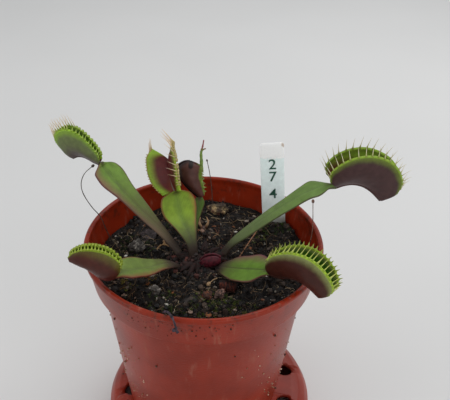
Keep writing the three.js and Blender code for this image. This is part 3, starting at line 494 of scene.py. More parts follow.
def direction(azimuth, elevation=0):
    level = math.cos(math.radians(elevation))
    return Vector((
        level * math.cos(math.radians(azimuth)),
        level * math.sin(math.radians(azimuth)),
        math.sin(math.radians(elevation)),
    ))


def repeatable_draws(seed):
    """The row of draws between 0 and 1 that the solids' ripples use."""
    state = float(seed)
    while True:
        state = (state * 1103515245 + 12345) % 2147483648
        yield state / 2147483648


class SmoothLine:
    """A centripetal Catmull-Rom line through points, the same as the solids follow."""

    def __init__(self, points):
        self.points = [Vector((*p, 0)) if len(p) == 2 else Vector(p) for p in points]

    def at(self, share):
        points = self.points
        last = len(points) - 1
        place = clamp(share) * last
        index = min(int(place), last - 1)
        weight = place - index
        start, end = points[index], points[index + 1]
        before = points[index - 1] if index > 0 else 2 * start - end
        after = points[index + 2] if index + 2 <= last else 2 * end - start
        spans = [(b - a).length_squared ** 0.25
                 for a, b in ((before, start), (start, end), (end, after))]
        middle = spans[1] if spans[1] > 1e-4 else 1.0
        first = spans[0] if spans[0] > 1e-4 else middle
        final = spans[2] if spans[2] > 1e-4 else middle
        leave = ((start - before) / first - (end - before) / (first + middle)
                 + (end - start) / middle) * middle
        arrive = ((end - start) / middle - (after - start) / (middle + final)
                  + (after - end) / final) * middle
        square, cube = weight * weight, weight ** 3
        return (start + leave * weight
                + (3 * (end - start) - 2 * leave - arrive) * square
                + (2 * (start - end) + leave + arrive) * cube)

    def slope(self, share):
        step = 1e-3
        return (self.at(min(share + step, 1)) - self.at(max(share - step, 0))).normalized()


RIPPLES = []
ripple_draws = repeatable_draws(RIPPLE_SEED)
for _ in range(RIPPLE_COUNT):
    heading = FULL_TURN * next(ripple_draws)
    tightness = 0.35 + 0.5 * next(ripple_draws)
    phase = FULL_TURN * next(ripple_draws)
    RIPPLES.append((tightness * math.cos(heading), tightness * math.sin(heading), phase))


def soil_height(x, y):
    """The height of the soil's solid over a point of the pot."""
    z = SOIL_LEVEL
    for mound_x, mound_y, radius, height in MOUNDS:
        z += height * math.exp(-((x - mound_x) ** 2 + (y - mound_y) ** 2) / radius ** 2)
    for kx, ky, offset in RIPPLES:
        z += RIPPLE_HEIGHT * math.sin(kx * x + ky * y + offset)
    return z


def peat_height(x, y):
    """The soil's height with its crumbs, clods and the hollows under what lies on it."""
    z = soil_height(x, y)
    clods = CLOD_HEIGHT * noise.fractal(Vector((x * 0.16, y * 0.16, 3.1)), 0.9, 2.1, 5)
    grit = GRIT_HEIGHT * noise.fractal(Vector((x * 0.75, y * 0.75, 8.3)), 0.7, 2.2, 4)
    inward = smooth(*CALM_RADII, math.hypot(x, y))
    z += (clods + grit) * lerp(CALM, 1, inward)
    for centre, half in PITS:
        away = ((x - centre[0]) / half[0]) ** 2 + ((y - centre[1]) / half[1]) ** 2
        if away < 1:
            z = min(z, centre[2] - half[2] * math.sqrt(1 - away) + 0.3)
    return z


# Making meshes


def faces_of(verts):
    return {face for vert in verts for face in vert.link_faces}


def wrapped_body(bm, around, along, place, first_turn=0):
    """Bends a grid into a closed body and returns its vertices.

    place(turn, share) is the skin's point for turn, 0 to 1 round the section, and share,
    0 to 1 along the body. Both ends are drawn together to a point.
    The map named skin keeps turn and share, so that a finish can follow the form. Its turns
    start at first_turn.
    """
    skin = bm.loops.layers.uv.verify()
    rows = along + 2
    made = bmesh.ops.create_grid(bm, x_segments=around, y_segments=rows, size=0.5)["verts"]
    for face in faces_of(made):
        for loop in face.loops:
            share = clamp(((loop.vert.co.y + 0.5) * rows - 1) / along)
            loop[skin].uv = (first_turn + loop.vert.co.x + 0.5, share)
    for vert in made:
        turn = vert.co.x + 0.5
        row = round((vert.co.y + 0.5) * rows)
        share = clamp((row - 1) / along)
        if row in (0, rows):
            quarters = [place(quarter / 4, share) for quarter in range(4)]
            vert.co = sum(quarters, Vector()) / 4
        else:
            vert.co = place(0.0 if turn > 0.9999 else turn, share)
    bmesh.ops.remove_doubles(bm, verts=made, dist=1e-5)
    kept = [vert for vert in made if vert.is_valid]
    faces = list(faces_of(kept))
    volume = sum(f.calc_center_median().dot(f.normal) * f.calc_area()
                 for f in faces if not f.normal_update())
    if volume < 0:
        bmesh.ops.reverse_faces(bm, faces=faces)
    return kept


def tube(bm, line, radius_at, sides, steps, flat=1.0):
    """A round body along a line, with a radius that changes along it."""
    centres = [line.at(i / steps) for i in range(steps + 1)]
    slopes = [line.slope(i / steps) for i in range(steps + 1)]
    normal = slopes[0].orthogonal().normalized()
    frames = []
    for slope in slopes:
        normal = (normal - slope * normal.dot(slope)).normalized()
        frames.append((normal, slope.cross(normal)))

    def place(turn, share):
        step = round(share * steps)
        first, second = frames[step]
        angle = FULL_TURN * turn
        radius = radius_at(step / steps)
        return (centres[step] + first * radius * math.cos(angle)
                + second * radius * flat * math.sin(angle))

    return wrapped_body(bm, sides, steps, place)


def lump(bm, centre, half, turn, roughness, detail, seed):
    """A ball knocked out of round by noise, stretched to its half sizes."""
    made = bmesh.ops.create_icosphere(bm, subdivisions=detail, radius=1)["verts"]
    spin = Matrix.Rotation(turn, 3, "Z")
    for vert in made:
        bump = 1 + roughness * noise.fractal(vert.co * 1.3 + Vector((seed, seed, seed)), 0.8, 2, 4)
        point = Vector(vert.co * bump)
        point = Vector((point.x * half[0], point.y * half[1], point.z * half[2]))
        vert.co = Vector(centre) + spin @ point
    return made


def toned_mesh():
    """An empty mesh whose vertices can each keep a tone."""
    bm = bmesh.new()
    bm.verts.layers.float.new("tone")
    return bm


def give_tone(bm, verts, value):
    """Notes a number on each vertex, that the finish turns into a colour."""
    layer = bm.verts.layers.float["tone"]
    for vert in verts:
        vert[layer] = value


def spot(draw, reach):
    """A place within reach of the middle of the pot. How far is drawn first, then which way."""
    radius = reach * math.sqrt(draw.random())
    return direction(360 * draw.random()) * radius


def patch_spot(draw, reach):
    """A place within reach of a patch's middle. Which way is drawn first, then how far."""
    return direction(360 * draw.random()) * reach * math.sqrt(draw.random())


def new_mesh(name, bm):
    """A mesh from a bmesh, which is used up."""
    mesh = bpy.data.meshes.new(name)
    bm.to_mesh(mesh)
    bm.free()
    return mesh


def new_object(name, data):
    """An object in the scene, at its origin."""
    thing = bpy.data.objects.new(name, data)
    bpy.context.scene.collection.objects.link(thing)
    return thing


class Heap:
    """Many small things in one mesh, gathered a handful at a time because that is quicker."""

    def __init__(self):
        self.all = toned_mesh()
        self.hand = toned_mesh()
        self.count = 0

    def next(self):
        """The mesh that the next small thing is made in."""
        self.count += 1
        if self.count % 40 == 0:
            self.gather()
        return self.hand

    def gather(self):
        mesh = new_mesh("handful", self.hand)
        self.all.from_mesh(mesh)
        bpy.data.meshes.remove(mesh)
        self.hand = toned_mesh()

    def crumb(self, draw, place, half, tone=None, palest=1.0, turned=True, roughness=0.5,
              detail=1):
        """Adds a lump of its own shape. Where no tone is given, one up to palest is drawn."""
        turn = LUMP_TURN * draw.random() if turned else 0
        made = lump(self.next(), place, half, turn, roughness, detail, LUMP_SHIFT * draw.random())
        give_tone(self.hand, made, palest * draw.random() if tone is None else tone)

    def show(self, name):
        """Puts the whole heap in the scene as one of the kinds of litter."""
        slot, roughness, smooth_faces, stops = LITTER[name]
        self.gather()
        self.hand.free()
        material = litter_finish(name.replace("_", " "), stops, roughness)
        show(self.all, name, material, slot, smooth_faces=smooth_faces)


def show(bm, name, material, slot, replaced=(), smooth_faces=True):
    """Puts a finished mesh in its place in the scene, on the one body that there is."""
    bmesh.ops.transform(bm, matrix=Matrix.Scale(MM, 4) @ Matrix.Translation(RIM), verts=bm.verts)
    mesh = new_mesh(name, bm)
    if mesh.uv_layers:
        mesh.uv_layers[0].name = "skin"
    for polygon in mesh.polygons:
        polygon.use_smooth = smooth_faces
    mesh.materials.append(material)
    piece = new_object(name, mesh)
    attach(piece, "root")
    if replaced:
        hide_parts(*replaced)


def add_drill(bm, radius, depth, matrix):
    """A round cutter for a drain hole."""
    bmesh.ops.create_cone(bm, cap_ends=True, segments=24, depth=depth, radius1=radius,
                          radius2=radius, matrix=matrix)


def drilled(body, cutters):
    """The mesh body less the mesh cutters, as a new mesh; both are used up."""
    objects = [new_object(name, new_mesh(name, bm))
               for name, bm in (("body", body), ("cutters", cutters))]
    modifier = objects[0].modifiers.new("holes", "BOOLEAN")
    modifier.object = objects[1]
    modifier.operation = "DIFFERENCE"
    modifier.solver = "EXACT"
    modifier.use_self = True
    bpy.context.view_layer.update()
    result = bmesh.new()
    result.from_object(objects[0], bpy.context.evaluated_depsgraph_get())
    for thing in objects:
        mesh = thing.data
        bpy.data.objects.remove(thing)
        bpy.data.meshes.remove(mesh)
    return result


def spun(profile, steps):
    """A closed round body from a profile of radius and height that starts and ends on the axis."""
    bm = bmesh.new()
    line = [bm.verts.new((radius, 0, z)) for radius, z in profile]
    edges = [bm.edges.new(pair) for pair in zip(line, line[1:])]
    bmesh.ops.spin(bm, geom=line + edges, cent=(0, 0, 0), axis=(0, 0, 1), angle=FULL_TURN,
                   steps=steps, use_merge=True)
    bmesh.ops.remove_doubles(bm, verts=bm.verts, dist=1e-4)
    bmesh.ops.recalc_face_normals(bm, faces=bm.faces)
    return bm


def rounded(profile, radius):
    """A profile with its corners cut back into short arcs; the two ends on the axis stay."""
    soft = [profile[0]]
    for before, corner, after in zip(profile, profile[1:], profile[2:]):
        here = Vector(corner)
        arms = [Vector(end) - here for end in (before, after)]
        reach = min(radius, arms[0].length * 0.45, arms[1].length * 0.45)
        start, end = (here + arm.normalized() * reach for arm in arms)
        for i in range(ARC_STEPS + 1):
            share = i / ARC_STEPS
            point = start.lerp(here, share).lerp(here.lerp(end, share), share)
            soft.append(tuple(point))
    soft.append(profile[-1])
    return soft


# Making finishes


class Finish:
    """A material being made. Each call adds a node and gives back its output."""

    def __init__(self, name, **sockets):
        self.material = bpy.data.materials.new(name)
        self.material.use_nodes = True
        self.tree = self.material.node_tree
        self.shader = self.tree.nodes["Principled BSDF"]
        for socket, value in sockets.items():
            self.shader.inputs[socket.replace("_", " ")].default_value = value
        coordinates = self.add("ShaderNodeTexCoord", "Object")
        self.place = self.add("ShaderNodeMapping", Vector=coordinates, Scale=(1 / MM,) * 3)

    def feed(self, socket, value):
        if isinstance(value, bpy.types.NodeSocket):
            self.tree.links.new(value, socket)
        else:
            socket.default_value = value

    def add(self, kind, out=0, settings=None, **sockets):
        node = self.tree.nodes.new(kind)
        for key, value in (settings or {}).items():
            setattr(node, key, value)
        for socket, value in sockets.items():
            self.feed(node.inputs[socket.replace("_", " ")], value)
        return node.outputs[out]

    def stretched(self, x, y, z):
        """The place on the piece in millimetres, drawn out along the axes."""
        return self.add("ShaderNodeMapping", Vector=self.place, Scale=(x, y, z))

    def noise(self, scale, detail=4.0, roughness=0.55, place=None, distortion=0.0):
        return self.add("ShaderNodeTexNoise", Vector=place or self.place, Scale=scale,
                        Detail=detail, Roughness=roughness, Distortion=distortion)

    def cells(self, scale):
        return self.add("ShaderNodeTexVoronoi", Vector=self.place, Scale=scale)

    def math(self, operation, a, b=0.0, c=0.0):
        node = self.tree.nodes.new("ShaderNodeMath")
        node.operation = operation
        for socket, value in zip(node.inputs, (a, b, c)):
            self.feed(socket, value)
        return node.outputs[0]

    def times(self, a, b):
        return self.math("MULTIPLY", a, b)

    def plus(self, a, b):
        return self.math("ADD", a, b)

    def wander(self, value, reach):
        """A pattern's value as a number that strays to both sides of 0."""
        return self.times(self.math("SUBTRACT", value, 0.5), reach)

    def ease(self, value, low, high, start=0.0, end=1.0):
        return self.add("ShaderNodeMapRange", settings={"interpolation_type": "SMOOTHSTEP"},
                        Value=value, From_Min=low, From_Max=high, To_Min=start, To_Max=end)

    def mix(self, share, a, b):
        node = self.tree.nodes.new("ShaderNodeMix")
        node.data_type = "RGBA"
        for index, value in ((0, share), (6, a), (7, b)):
            self.feed(node.inputs[index], value)
        return node.outputs[2]

    def over(self, base, share, code, most=1.0):
        """The base with a colour laid over it where share says, as strongly as most."""
        if most != 1:
            share = self.times(share, most)
        return self.mix(share, base, tint(code))

    def mottled(self, pattern, a, b, low=0.3, high=0.7):
        """Two colours in patches that follow a pattern."""
        return self.mix(self.ease(pattern, low, high), a, b)

    def ramp(self, share, *stops):
        node = self.tree.nodes.new("ShaderNodeValToRGB")
        self.feed(node.inputs[0], share)
        elements = node.color_ramp.elements
        elements.remove(elements[1])
        elements[0].position, elements[0].color = stops[0]
        for position, colour in stops[1:]:
            elements.new(position).color = colour
        return node.outputs[0]

    def skin(self):
        """Turn and share of the skin map."""
        both = self.add("ShaderNodeUVMap", settings={"uv_map": "skin"})
        turn = self.add("ShaderNodeSeparateXYZ", "X", Vector=both)
        return turn, turn.node.outputs["Y"]

    def tone(self):
        return self.add("ShaderNodeAttribute", "Fac", {"attribute_name": "tone"})

    def height(self):
        return self.add("ShaderNodeSeparateXYZ", "Z", Vector=self.place)

    def near(self, x, z, reach):
        """1 close to a line that runs away from the viewer through x and z of the rim's frame."""
        flat = self.add("ShaderNodeMapping", Vector=self.place, Scale=(1, 0, 1))
        away = self.add("ShaderNodeVectorMath", 1, {"operation": "DISTANCE"})
        node = away.node
        self.feed(node.inputs[0], flat)
        node.inputs[1].default_value = (RIM.x + x, 0, RIM.z + z)
        return self.ease(away, reach, 0.5 * reach)

    def bump(self, height, depth, strength, under=None):
        sockets = {"Height": height, "Distance": depth * MM, "Strength": strength}
        if under is not None:
            sockets["Normal"] = under
        return self.add("ShaderNodeBump", **sockets)

    def done(self, colour, roughness=None, normal=None):
        for socket, value in (("Base Color", colour), ("Roughness", roughness),
                              ("Normal", normal)):
            if value is not None:
                self.feed(self.shader.inputs[socket], value)
        return self.material


def shaded(colour, share):
    """A colour made darker, or lighter where share is over 1."""
    return (*[channel * share for channel in colour[:3]], 1)


def plastic_finish(name, colour, dust):
    """Moulded terracotta plastic: broad shades, a dusty film, dark specks, and mud at the rim."""
    f = Finish(name, Specular_IOR_Level=0.24, Coat_Weight=0.03, Coat_Roughness=0.3)
    base = f.mottled(f.noise(0.045, 3), shaded(colour, 0.78), shaded(colour, 1.15))
    streaks = f.noise(1.0, 4, 0.6, place=f.stretched(0.55, 0.55, 0.05))
    film = f.times(f.ease(streaks, 0.52, 0.78), f.ease(f.noise(0.09, 4), 0.42, 0.62))
    base = f.over(base, f.times(film, dust), 0xa87a68)
    specks = f.times(f.ease(f.cells(0.55), 0.16, 0.08), f.ease(f.noise(0.35, 2), 0.6, 0.66))
    base = f.over(base, specks, 0x3a1d16, 0.75)
    mud = f.times(f.ease(f.noise(0.3, 6, 0.7), 0.5, 0.66),
                  f.ease(f.height(), RIM.z - 11, RIM.z - 4))
    base = f.over(base, mud, 0x3d1f15, 0.6)
    grain = f.noise(5.5, 3)
    flow = f.noise(0.5, 2, place=f.stretched(1, 1, 4))
    normal = f.bump(flow, 0.10, 0.5, under=f.bump(grain, 0.03, 0.5))
    rough = f.ease(f.plus(film, f.times(grain, 0.3)), 0, 1, 0.32, 0.62)
    return f.done(base, rough, normal)


def peat_finish(name, dark, brown):
    """Damp peat: black crumbs with brown and grey-brown fibre between them."""
    f = Finish(name, Specular_IOR_Level=0.35)
    clods = f.noise(0.55, 6, 0.7)
    base = f.ramp(clods, (0.36, tint(dark)), (0.54, (*brown, 1)), (0.68, tint(0x33271e)),
                  (0.82, tint(0x5e5040)))
    damp = f.ease(f.noise(0.12, 3), 0.4, 0.6)
    base = f.over(base, damp, dark, 0.6)
    fibre = f.noise(3.2, 5, 0.7, place=f.stretched(1, 0.35, 1), distortion=1.2)
    normal = f.bump(fibre, 0.5, 0.8, under=f.bump(clods, 0.9, 0.9))
    return f.done(base, f.ease(damp, 0, 1, 0.92, 0.6), normal)


def litter_finish(name, stops, roughness):
    """Small loose things: each has its own tone, read as a place on a row of colours."""
    f = Finish(name)
    place = f.plus(f.tone(), f.wander(f.noise(2.5, 3), 0.25))
    base = f.ramp(place, *[(at, tint(code)) for at, code in stops])
    return f.done(base, roughness, f.bump(f.noise(6.0, 4), 0.2, 0.6))


def chip_finish(name, dark, light, grain):
    """A loose lump: patches of two colours, with dark pits and dirt."""
    f = Finish(name)
    patches = f.noise(0.9 * grain, 5, 0.65)
    base = f.mottled(patches, tint(dark), tint(light), 0.35, 0.65)
    pits = f.ease(f.cells(1.6 * grain), 0.05, 0.4)
    base = f.over(base, f.math("SUBTRACT", 1.0, pits), 0x1f1712, 0.6)
    base = f.over(base, f.ease(f.noise(0.55 * grain, 5, 0.75), 0.38, 0.52), 0x1a1411, 0.85)
    return f.done(base, 0.85, f.bump(f.plus(patches, pits), 0.5, 0.8))


def blade_finish(name, top, under, edge, low, vein, crease, flush, side, reach):
    """A leaf stalk: green with a dark midrib, a dark foot, a flush that spreads in from one
    edge, thin tinted margins and fine long veins."""
    f = Finish(name, Roughness=0.45, Specular_IOR_Level=0.22, Subsurface_Weight=0.06,
               Subsurface_Radius=(0.4, 0.8, 0.2), Subsurface_Scale=0.001)
    turn, share = f.skin()
    angle = f.times(turn, FULL_TURN)
    across = f.math("COSINE", angle)
    out = f.math("ABSOLUTE", across)
    below = f.math("LESS_THAN", f.math("SINE", angle), 0.0)
    wander = f.wander(f.noise(0.3, 4), 0.5)
    colour = f.mottled(f.noise(0.35, 4), tint(top), shaded(tint(top), 0.72))
    colour = f.over(colour, below, under)
    flushed = f.ease(f.plus(f.times(across, float(side)), wander), 1.0 - reach, 1.05)
    colour = f.over(colour, flushed, flush, 0.85)
    lines = f.add("ShaderNodeTexWave", settings={"bands_direction": "X", "wave_profile": "SIN"},
                  Vector=f.add("ShaderNodeCombineXYZ", X=across, Y=f.times(share, 0.3)),
                  Scale=3.4, Distortion=0.8, Detail=2.0, Detail_Scale=3.0)
    colour = f.mix(f.times(lines, 0.07), colour, shaded(tint(top), 1.6))
    colour = f.over(colour, f.ease(out, crease, 0.0), vein, 0.2 / (crease + 0.2))
    margin = f.ease(f.plus(out, f.times(wander, 0.2)), 0.86, 0.98)
    colour = f.over(colour, margin, edge, 0.8)
    foot = f.ease(f.plus(share, f.times(wander, 0.3)), 0.62, 0.2)
    colour = f.over(colour, foot, low, 0.97)
    # Painted shade: the lower stalk is darkened where it sits more than a few millimetres below the
    # rim, inside the pot
    shade_below_rim = f.times(f.ease(share, 0.46, 0.26), f.ease(f.height(), RIM.z, RIM.z - 6))
    colour = f.over(colour, shade_below_rim, 0x3a2f29, 0.95)
    tip = f.times(f.ease(share, 0.78, 0.96), f.ease(out, 0.7, 0.1))
    colour = f.over(colour, tip, 0x4a2c30, 0.8)
    pores = f.noise(7.0, 3)
    normal = f.bump(lines, 0.12, 0.5, under=f.bump(pores, 0.05, 0.5))
    return f.done(colour, f.ease(pores, 0.3, 0.7, 0.38, 0.52), normal)


def trap_finish(name, colours):
    """A trap's lobe: a flushed outer skin, a green band along the margin, and the inner skin."""
    f = Finish(name, Roughness=0.38, Specular_IOR_Level=0.22, Subsurface_Weight=0.08,
               Subsurface_Radius=(0.6, 0.6, 0.2), Subsurface_Scale=0.0008)
    start, fade, depth = colours["start"], colours["fade"], colours["depth"]
    skin, inside, band = (tint(colours[part]) for part in ("skin", "inside", "band"))
    turn, share = f.skin()
    other = f.math("GREATER_THAN", turn, OTHER_LOBE - 0.5)
    turn = f.math("MULTIPLY_ADD", other, -float(OTHER_LOBE), turn)
    off_rib = f.math("ABSOLUTE", f.math("SUBTRACT", f.times(turn, 2.0), 1.0))
    out = f.math("SUBTRACT", 1.0, off_rib)
    blotch = f.noise(0.45, 5, 0.6)
    place = f.plus(out, f.wander(blotch, 0.1))
    outer = f.mottled(blotch, skin, shaded(skin, 1.3), 0.35)
    outer = f.over(outer, f.ease(place, colours["reach"], 0.04), colours["rib"])
    lining = f.mottled(blotch, inside, shaded(inside, 1.4))
    near_neck = f.ease(f.plus(place, f.times(share, 0.9)), depth, depth - 0.5)
    lining = f.over(lining, near_neck, colours["deep"])
    colour = f.mix(f.math("GREATER_THAN", turn, 0.5), outer, lining)
    ends = f.math("POWER", f.math("ABSOLUTE", f.math("MULTIPLY_ADD", share, 2.0, -1.0)), 4.0)
    banded = f.math("MULTIPLY_ADD", ends, colours["widen"], place)
    banded = f.math("MULTIPLY_ADD", other, start - colours["other"], banded)
    banded = f.math("MULTIPLY_ADD", share, -colours.get("drift", 0.0), banded)
    margin = f.ease(banded, start - fade, start + 0.25 * fade)
    fine = f.noise(3.0, 3, place=f.stretched(1, 1, 0.5))
    colour = f.mix(margin, colour, f.mottled(fine, band, shaded(band, 0.8)))
    colour = f.over(colour, f.ease(out, 0.92, 0.97), colours["lip"])
    if "spot" in colours:
        colour = f.over(colour, f.near(*colours["spot"]), 0x120c0c, 0.9)
    ribs = f.math("SINE", f.times(share, 120.0))
    pores = f.noise(6.0, 3)
    normal = f.bump(f.times(ribs, margin), 0.08, 0.35, under=f.bump(pores, 0.07, 0.6))
    return f.done(colour, f.ease(pores, 0.3, 0.7, 0.32, 0.48), normal)


def teeth_finish(name, root, tip):
    """Teeth and shoots: they pale towards the tip, as far as their tone lets them."""
    f = Finish(name, Roughness=0.45, Subsurface_Weight=0.2, Subsurface_Radius=(0.8, 0.8, 0.4),
               Subsurface_Scale=0.0005)
    _, share = f.skin()
    grade = f.plus(share, f.wander(f.noise(1.2, 2), 0.3))
    pale = f.times(f.ease(grade, 0.05, 0.45), f.tone())
    return f.done(f.mix(pale, tint(root), tint(tip)), 0.45, f.bump(f.noise(9.0, 2), 0.04, 0.4))


def dry_finish(name, dark, light, scale=1.6):
    """Dead plant stuff: dull, streaked and wrinkled."""
    f = Finish(name, Specular_IOR_Level=0.3)
    streak = f.noise(scale, 5, 0.65, distortion=0.8)
    base = f.mottled(streak, tint(dark), tint(light), 0.32, 0.68)
    return f.done(base, f.ease(streak, 0.3, 0.7, 0.7, 0.92), f.bump(streak, 0.3, 0.8))


def label_finish(name, colour, band, corner):
    """Weathered label plastic: a cream band at the top, a brown mark at one corner, a soil
    stain at the foot, and scuffs."""
    f = Finish(name, Specular_IOR_Level=0.4, Subsurface_Weight=1.0,
               Subsurface_Radius=(1, 1, 1), Subsurface_Scale=0.006)
    top = RIM.z + LABEL_TOP
    level = f.plus(f.height(), f.times(f.noise(0.6, 4), 3.0))
    base = f.mottled(f.noise(0.3, 4), (*colour, 1), shaded(colour, 0.86))
    base = f.mix(f.ease(level, top - 5.5, top - 4.5), base, (*band, 1))
    base = f.over(base, f.ease(level, RIM.z - 1, RIM.z - 7), 0x5c4a3a, 0.75)
    base = f.over(base, f.near(corner.x, corner.z, 1.5), 0x6a4a2c, 0.8)
    scuff = f.ease(f.noise(2.4, 4, place=f.stretched(3, 1, 0.4)), 0.62, 0.74)
    base = f.over(base, scuff, 0x8d8a7c, 0.35)
    return f.done(base, f.ease(scuff, 0, 1, 0.42, 0.7), f.bump(f.noise(3.0, 4), 0.04, 0.5))


# The settings that a user would change


class PotSettings(bpy.types.PropertyGroup):
    colour: bpy.props.FloatVectorProperty(
        name="Colour", description="Colour of the pot's plastic", subtype="COLOR", size=3,
        min=0, max=1, default=tint(0x8a260c)[:3])
    stand_colour: bpy.props.FloatVectorProperty(
        name="Stand colour", description="Colour of the upturned pot below", subtype="COLOR",
        size=3, min=0, max=1, default=tint(0x8a2c1c)[:3])
    dust: bpy.props.FloatProperty(
        name="Dust", description="How much dusty film lies on the plastic", subtype="FACTOR",
        min=0, max=1, default=0.5)
    rounding: bpy.props.FloatProperty(
        name="Rounding", description="Radius of the moulded edges", unit="LENGTH",
        min=0, max=0.002, default=0.0006)


class SoilSettings(bpy.types.PropertyGroup):
    colour: bpy.props.FloatVectorProperty(
        name="Colour", description="Colour of the damp peat", subtype="COLOR", size=3,
        min=0, max=1, default=tint(0x1c1512)[:3])
    crumbs: bpy.props.IntProperty(
        name="Crumbs", description="How many loose crumbs lie on the peat", min=0, max=4000,
        default=1900)
    fibres: bpy.props.IntProperty(
        name="Fibres", description="How many fibres lie on the peat", min=0, max=3000,
        default=1700)
    grains: bpy.props.IntProperty(
        name="Pale grains", description="How many pale grains lie in the peat", min=0, max=1000,
        default=420)
    flakes: bpy.props.IntProperty(
        name="Bark crumbs", description="How many flat bark crumbs lie on the peat", min=0,
        max=600, default=150)
    tufts: bpy.props.FloatProperty(
        name="Moss", description="Share of the moss tufts that grow", subtype="FACTOR",
        min=0, max=1, default=1.0)


class PlantSettings(bpy.types.PropertyGroup):
    wave: bpy.props.FloatProperty(
        name="Edge wave", description="Height of the waves along the leaf edges", unit="LENGTH",
        min=0, max=0.002, default=0.00022)
    groove: bpy.props.FloatProperty(
        name="Midrib groove", description="Depth of the groove over the midrib", unit="LENGTH",
        min=0, max=0.001, default=0.00035)
    cilium_radius: bpy.props.FloatProperty(
        name="Cilium radius", description="Radius of each cilium at its root", unit="LENGTH",
        min=0.0001, max=0.001, default=0.0003)
    cilium_length: bpy.props.FloatProperty(
        name="Cilium length", description="Length of the cilia against the model's own",
        subtype="FACTOR", min=0, max=1.5, default=1.0)


class LabelSettings(bpy.types.PropertyGroup):
    colour: bpy.props.FloatVectorProperty(
        name="Colour", description="Colour of the label", subtype="COLOR", size=3,
        min=0, max=1, default=tint(0xcfeee6)[:3])
    band: bpy.props.FloatVectorProperty(
        name="Band", description="Colour of the band at the top", subtype="COLOR", size=3,
        min=0, max=1, default=tint(0xfcf9ee)[:3])
    numbers: bpy.props.StringProperty(
        name="Numbers", description="Numbers written down the label", default="27 4")


class StageSettings(bpy.types.PropertyGroup):
    floor_colour: bpy.props.FloatVectorProperty(
        name="Floor", description="Colour of the floor", subtype="COLOR", size=3,
        min=0, max=1, default=(0.7, 0.7, 0.695))
    key_power: bpy.props.FloatProperty(
        name="Key light", description="Power of the light overhead", unit="POWER",
        min=0, max=200, default=2.4)
    fill_power: bpy.props.FloatProperty(
        name="Side light", description="Power of the light at the side", unit="POWER",
        min=0, max=200, default=0.9)
    sky: bpy.props.FloatProperty(
        name="Surrounding light", description="Strength of the light all round",
        min=0, max=5, default=0.6)


# The pieces


class FLYTRAP_OT_pot(bpy.types.Operator):
    """Make the pot: a thin round shell with a collar under its rim and drain holes"""
    bl_idname = "flytrap.pot"
    bl_label = "Pot"

    def execute(self, context):
        settings = context.scene.flytrap_pot
        foot = -POT_HEIGHT
        inner_floor = foot + FLOOR_THICKNESS
        inner_rim = RIM_RADIUS - LIP_WIDTH
        outside = [
            (0, foot), (FOOT_RADIUS - FOOT_CHAMFER_WIDTH, foot),
            (FOOT_RADIUS, foot + FOOT_CHAMFER_HEIGHT),
            (BODY_RADIUS, -COLLAR_HEIGHT - COLLAR_STEP), (COLLAR_RADIUS, -COLLAR_HEIGHT),
            (COLLAR_TOP_RADIUS, -LIP_HEIGHT), (RIM_RADIUS, -LIP_HEIGHT + LIP_UNDERCUT),
            (RIM_RADIUS, -RIM_CHAMFER), (RIM_RADIUS - RIM_CHAMFER, 0),
        ]
        inside = [
            (inner_rim + RIM_CHAMFER, 0), (inner_rim, -RIM_CHAMFER),
            (COLLAR_TOP_RADIUS - POT_WALL, -LIP_HEIGHT),
            (COLLAR_RADIUS - POT_WALL, -COLLAR_HEIGHT + INNER_COLLAR_RISE),
            (BODY_RADIUS - POT_WALL, -COLLAR_HEIGHT + INNER_BODY_RISE),
            (FOOT_RADIUS - POT_WALL, inner_floor), (0, inner_floor),
        ]
        body = spun(rounded(outside + inside, settings.rounding / MM), SPIN_STEPS)
        drills = bmesh.new()
        for i in range(POT_DRAINS):
            centre = direction(360 * i / POT_DRAINS) * POT_DRAIN_RING + UP * foot
            add_drill(drills, POT_DRAIN_RADIUS, POT_DRILL_DEPTH, Matrix.Translation(centre))
        material = plastic_finish("pot plastic", settings.colour, settings.dust)
        show(drilled(body, drills), "pot_shell", material, "pot_plastic", ["pot"])
        return {"FINISHED"}


class FLYTRAP_OT_stand(bpy.types.Operator):
    """Make the stand: the upturned pot, with drain holes and channels round its top edge"""
    bl_idname = "flytrap.stand"
    bl_label = "Stand"

    def execute(self, context):
        settings = context.scene.flytrap_pot
        top = -POT_HEIGHT - CLEARANCE
        base = top - STAND_HEIGHT
        shoulder = top - STAND_SHOULDER_DROP
        bead = base + STAND_BEAD_HEIGHT
        outer_wall = STAND_MOUTH_RADIUS - STAND_BEAD_WIDTH
        profile = [(0, top), (STAND_TOP_RADIUS, top)]
        profile += [(STAND_TOP_RADIUS + out, top - down) for out, down in STAND_ROUND]
        profile += [
            (STAND_SHOULDER_RADIUS, shoulder), (outer_wall, bead), (STAND_MOUTH_RADIUS, bead),
            (STAND_MOUTH_RADIUS, base), (outer_wall - STAND_WALL, base),
            (STAND_SHOULDER_RADIUS - STAND_WALL, shoulder),
        ]
        profile += [(STAND_TOP_RADIUS + out, top - down) for out, down in STAND_INNER_ROUND]
        profile.append((0, top - STAND_WALL))
        body = spun(rounded(profile, settings.rounding / MM), SPIN_STEPS)
        hole = Matrix.Translation((DRAIN_RING, 0, top))
        channel = (Matrix.Translation((DRAIN_RING + CHANNEL_LENGTH / 2, 0, top - CHANNEL_DEPTH))
                   @ Matrix.Rotation(math.radians(CHANNEL_SLOPE), 4, "Y")
                   @ Matrix.Diagonal((CHANNEL_LENGTH, CHANNEL_WIDTH, 2 * CHANNEL_DEPTH, 1)))
        drills = bmesh.new()
        for i in range(DRAIN_COUNT):
            azimuth = Matrix.Rotation(math.radians(DRAIN_FIRST_AZIMUTH + 360 * i / DRAIN_COUNT),
                                      4, "Z")
            add_drill(drills, DRAIN_RADIUS, DRILL_DEPTH, azimuth @ hole)
            bmesh.ops.create_cube(drills, size=1, matrix=azimuth @ channel)
        stand = drilled(body, drills)
        bmesh.ops.translate(stand, verts=stand.verts, vec=(STAND_SHIFT, 0, 0))
        material = plastic_finish("stand plastic", settings.stand_colour, settings.dust)
        show(stand, "stand_shell", material, "stand_plastic", ["stand"])
        return {"FINISHED"}


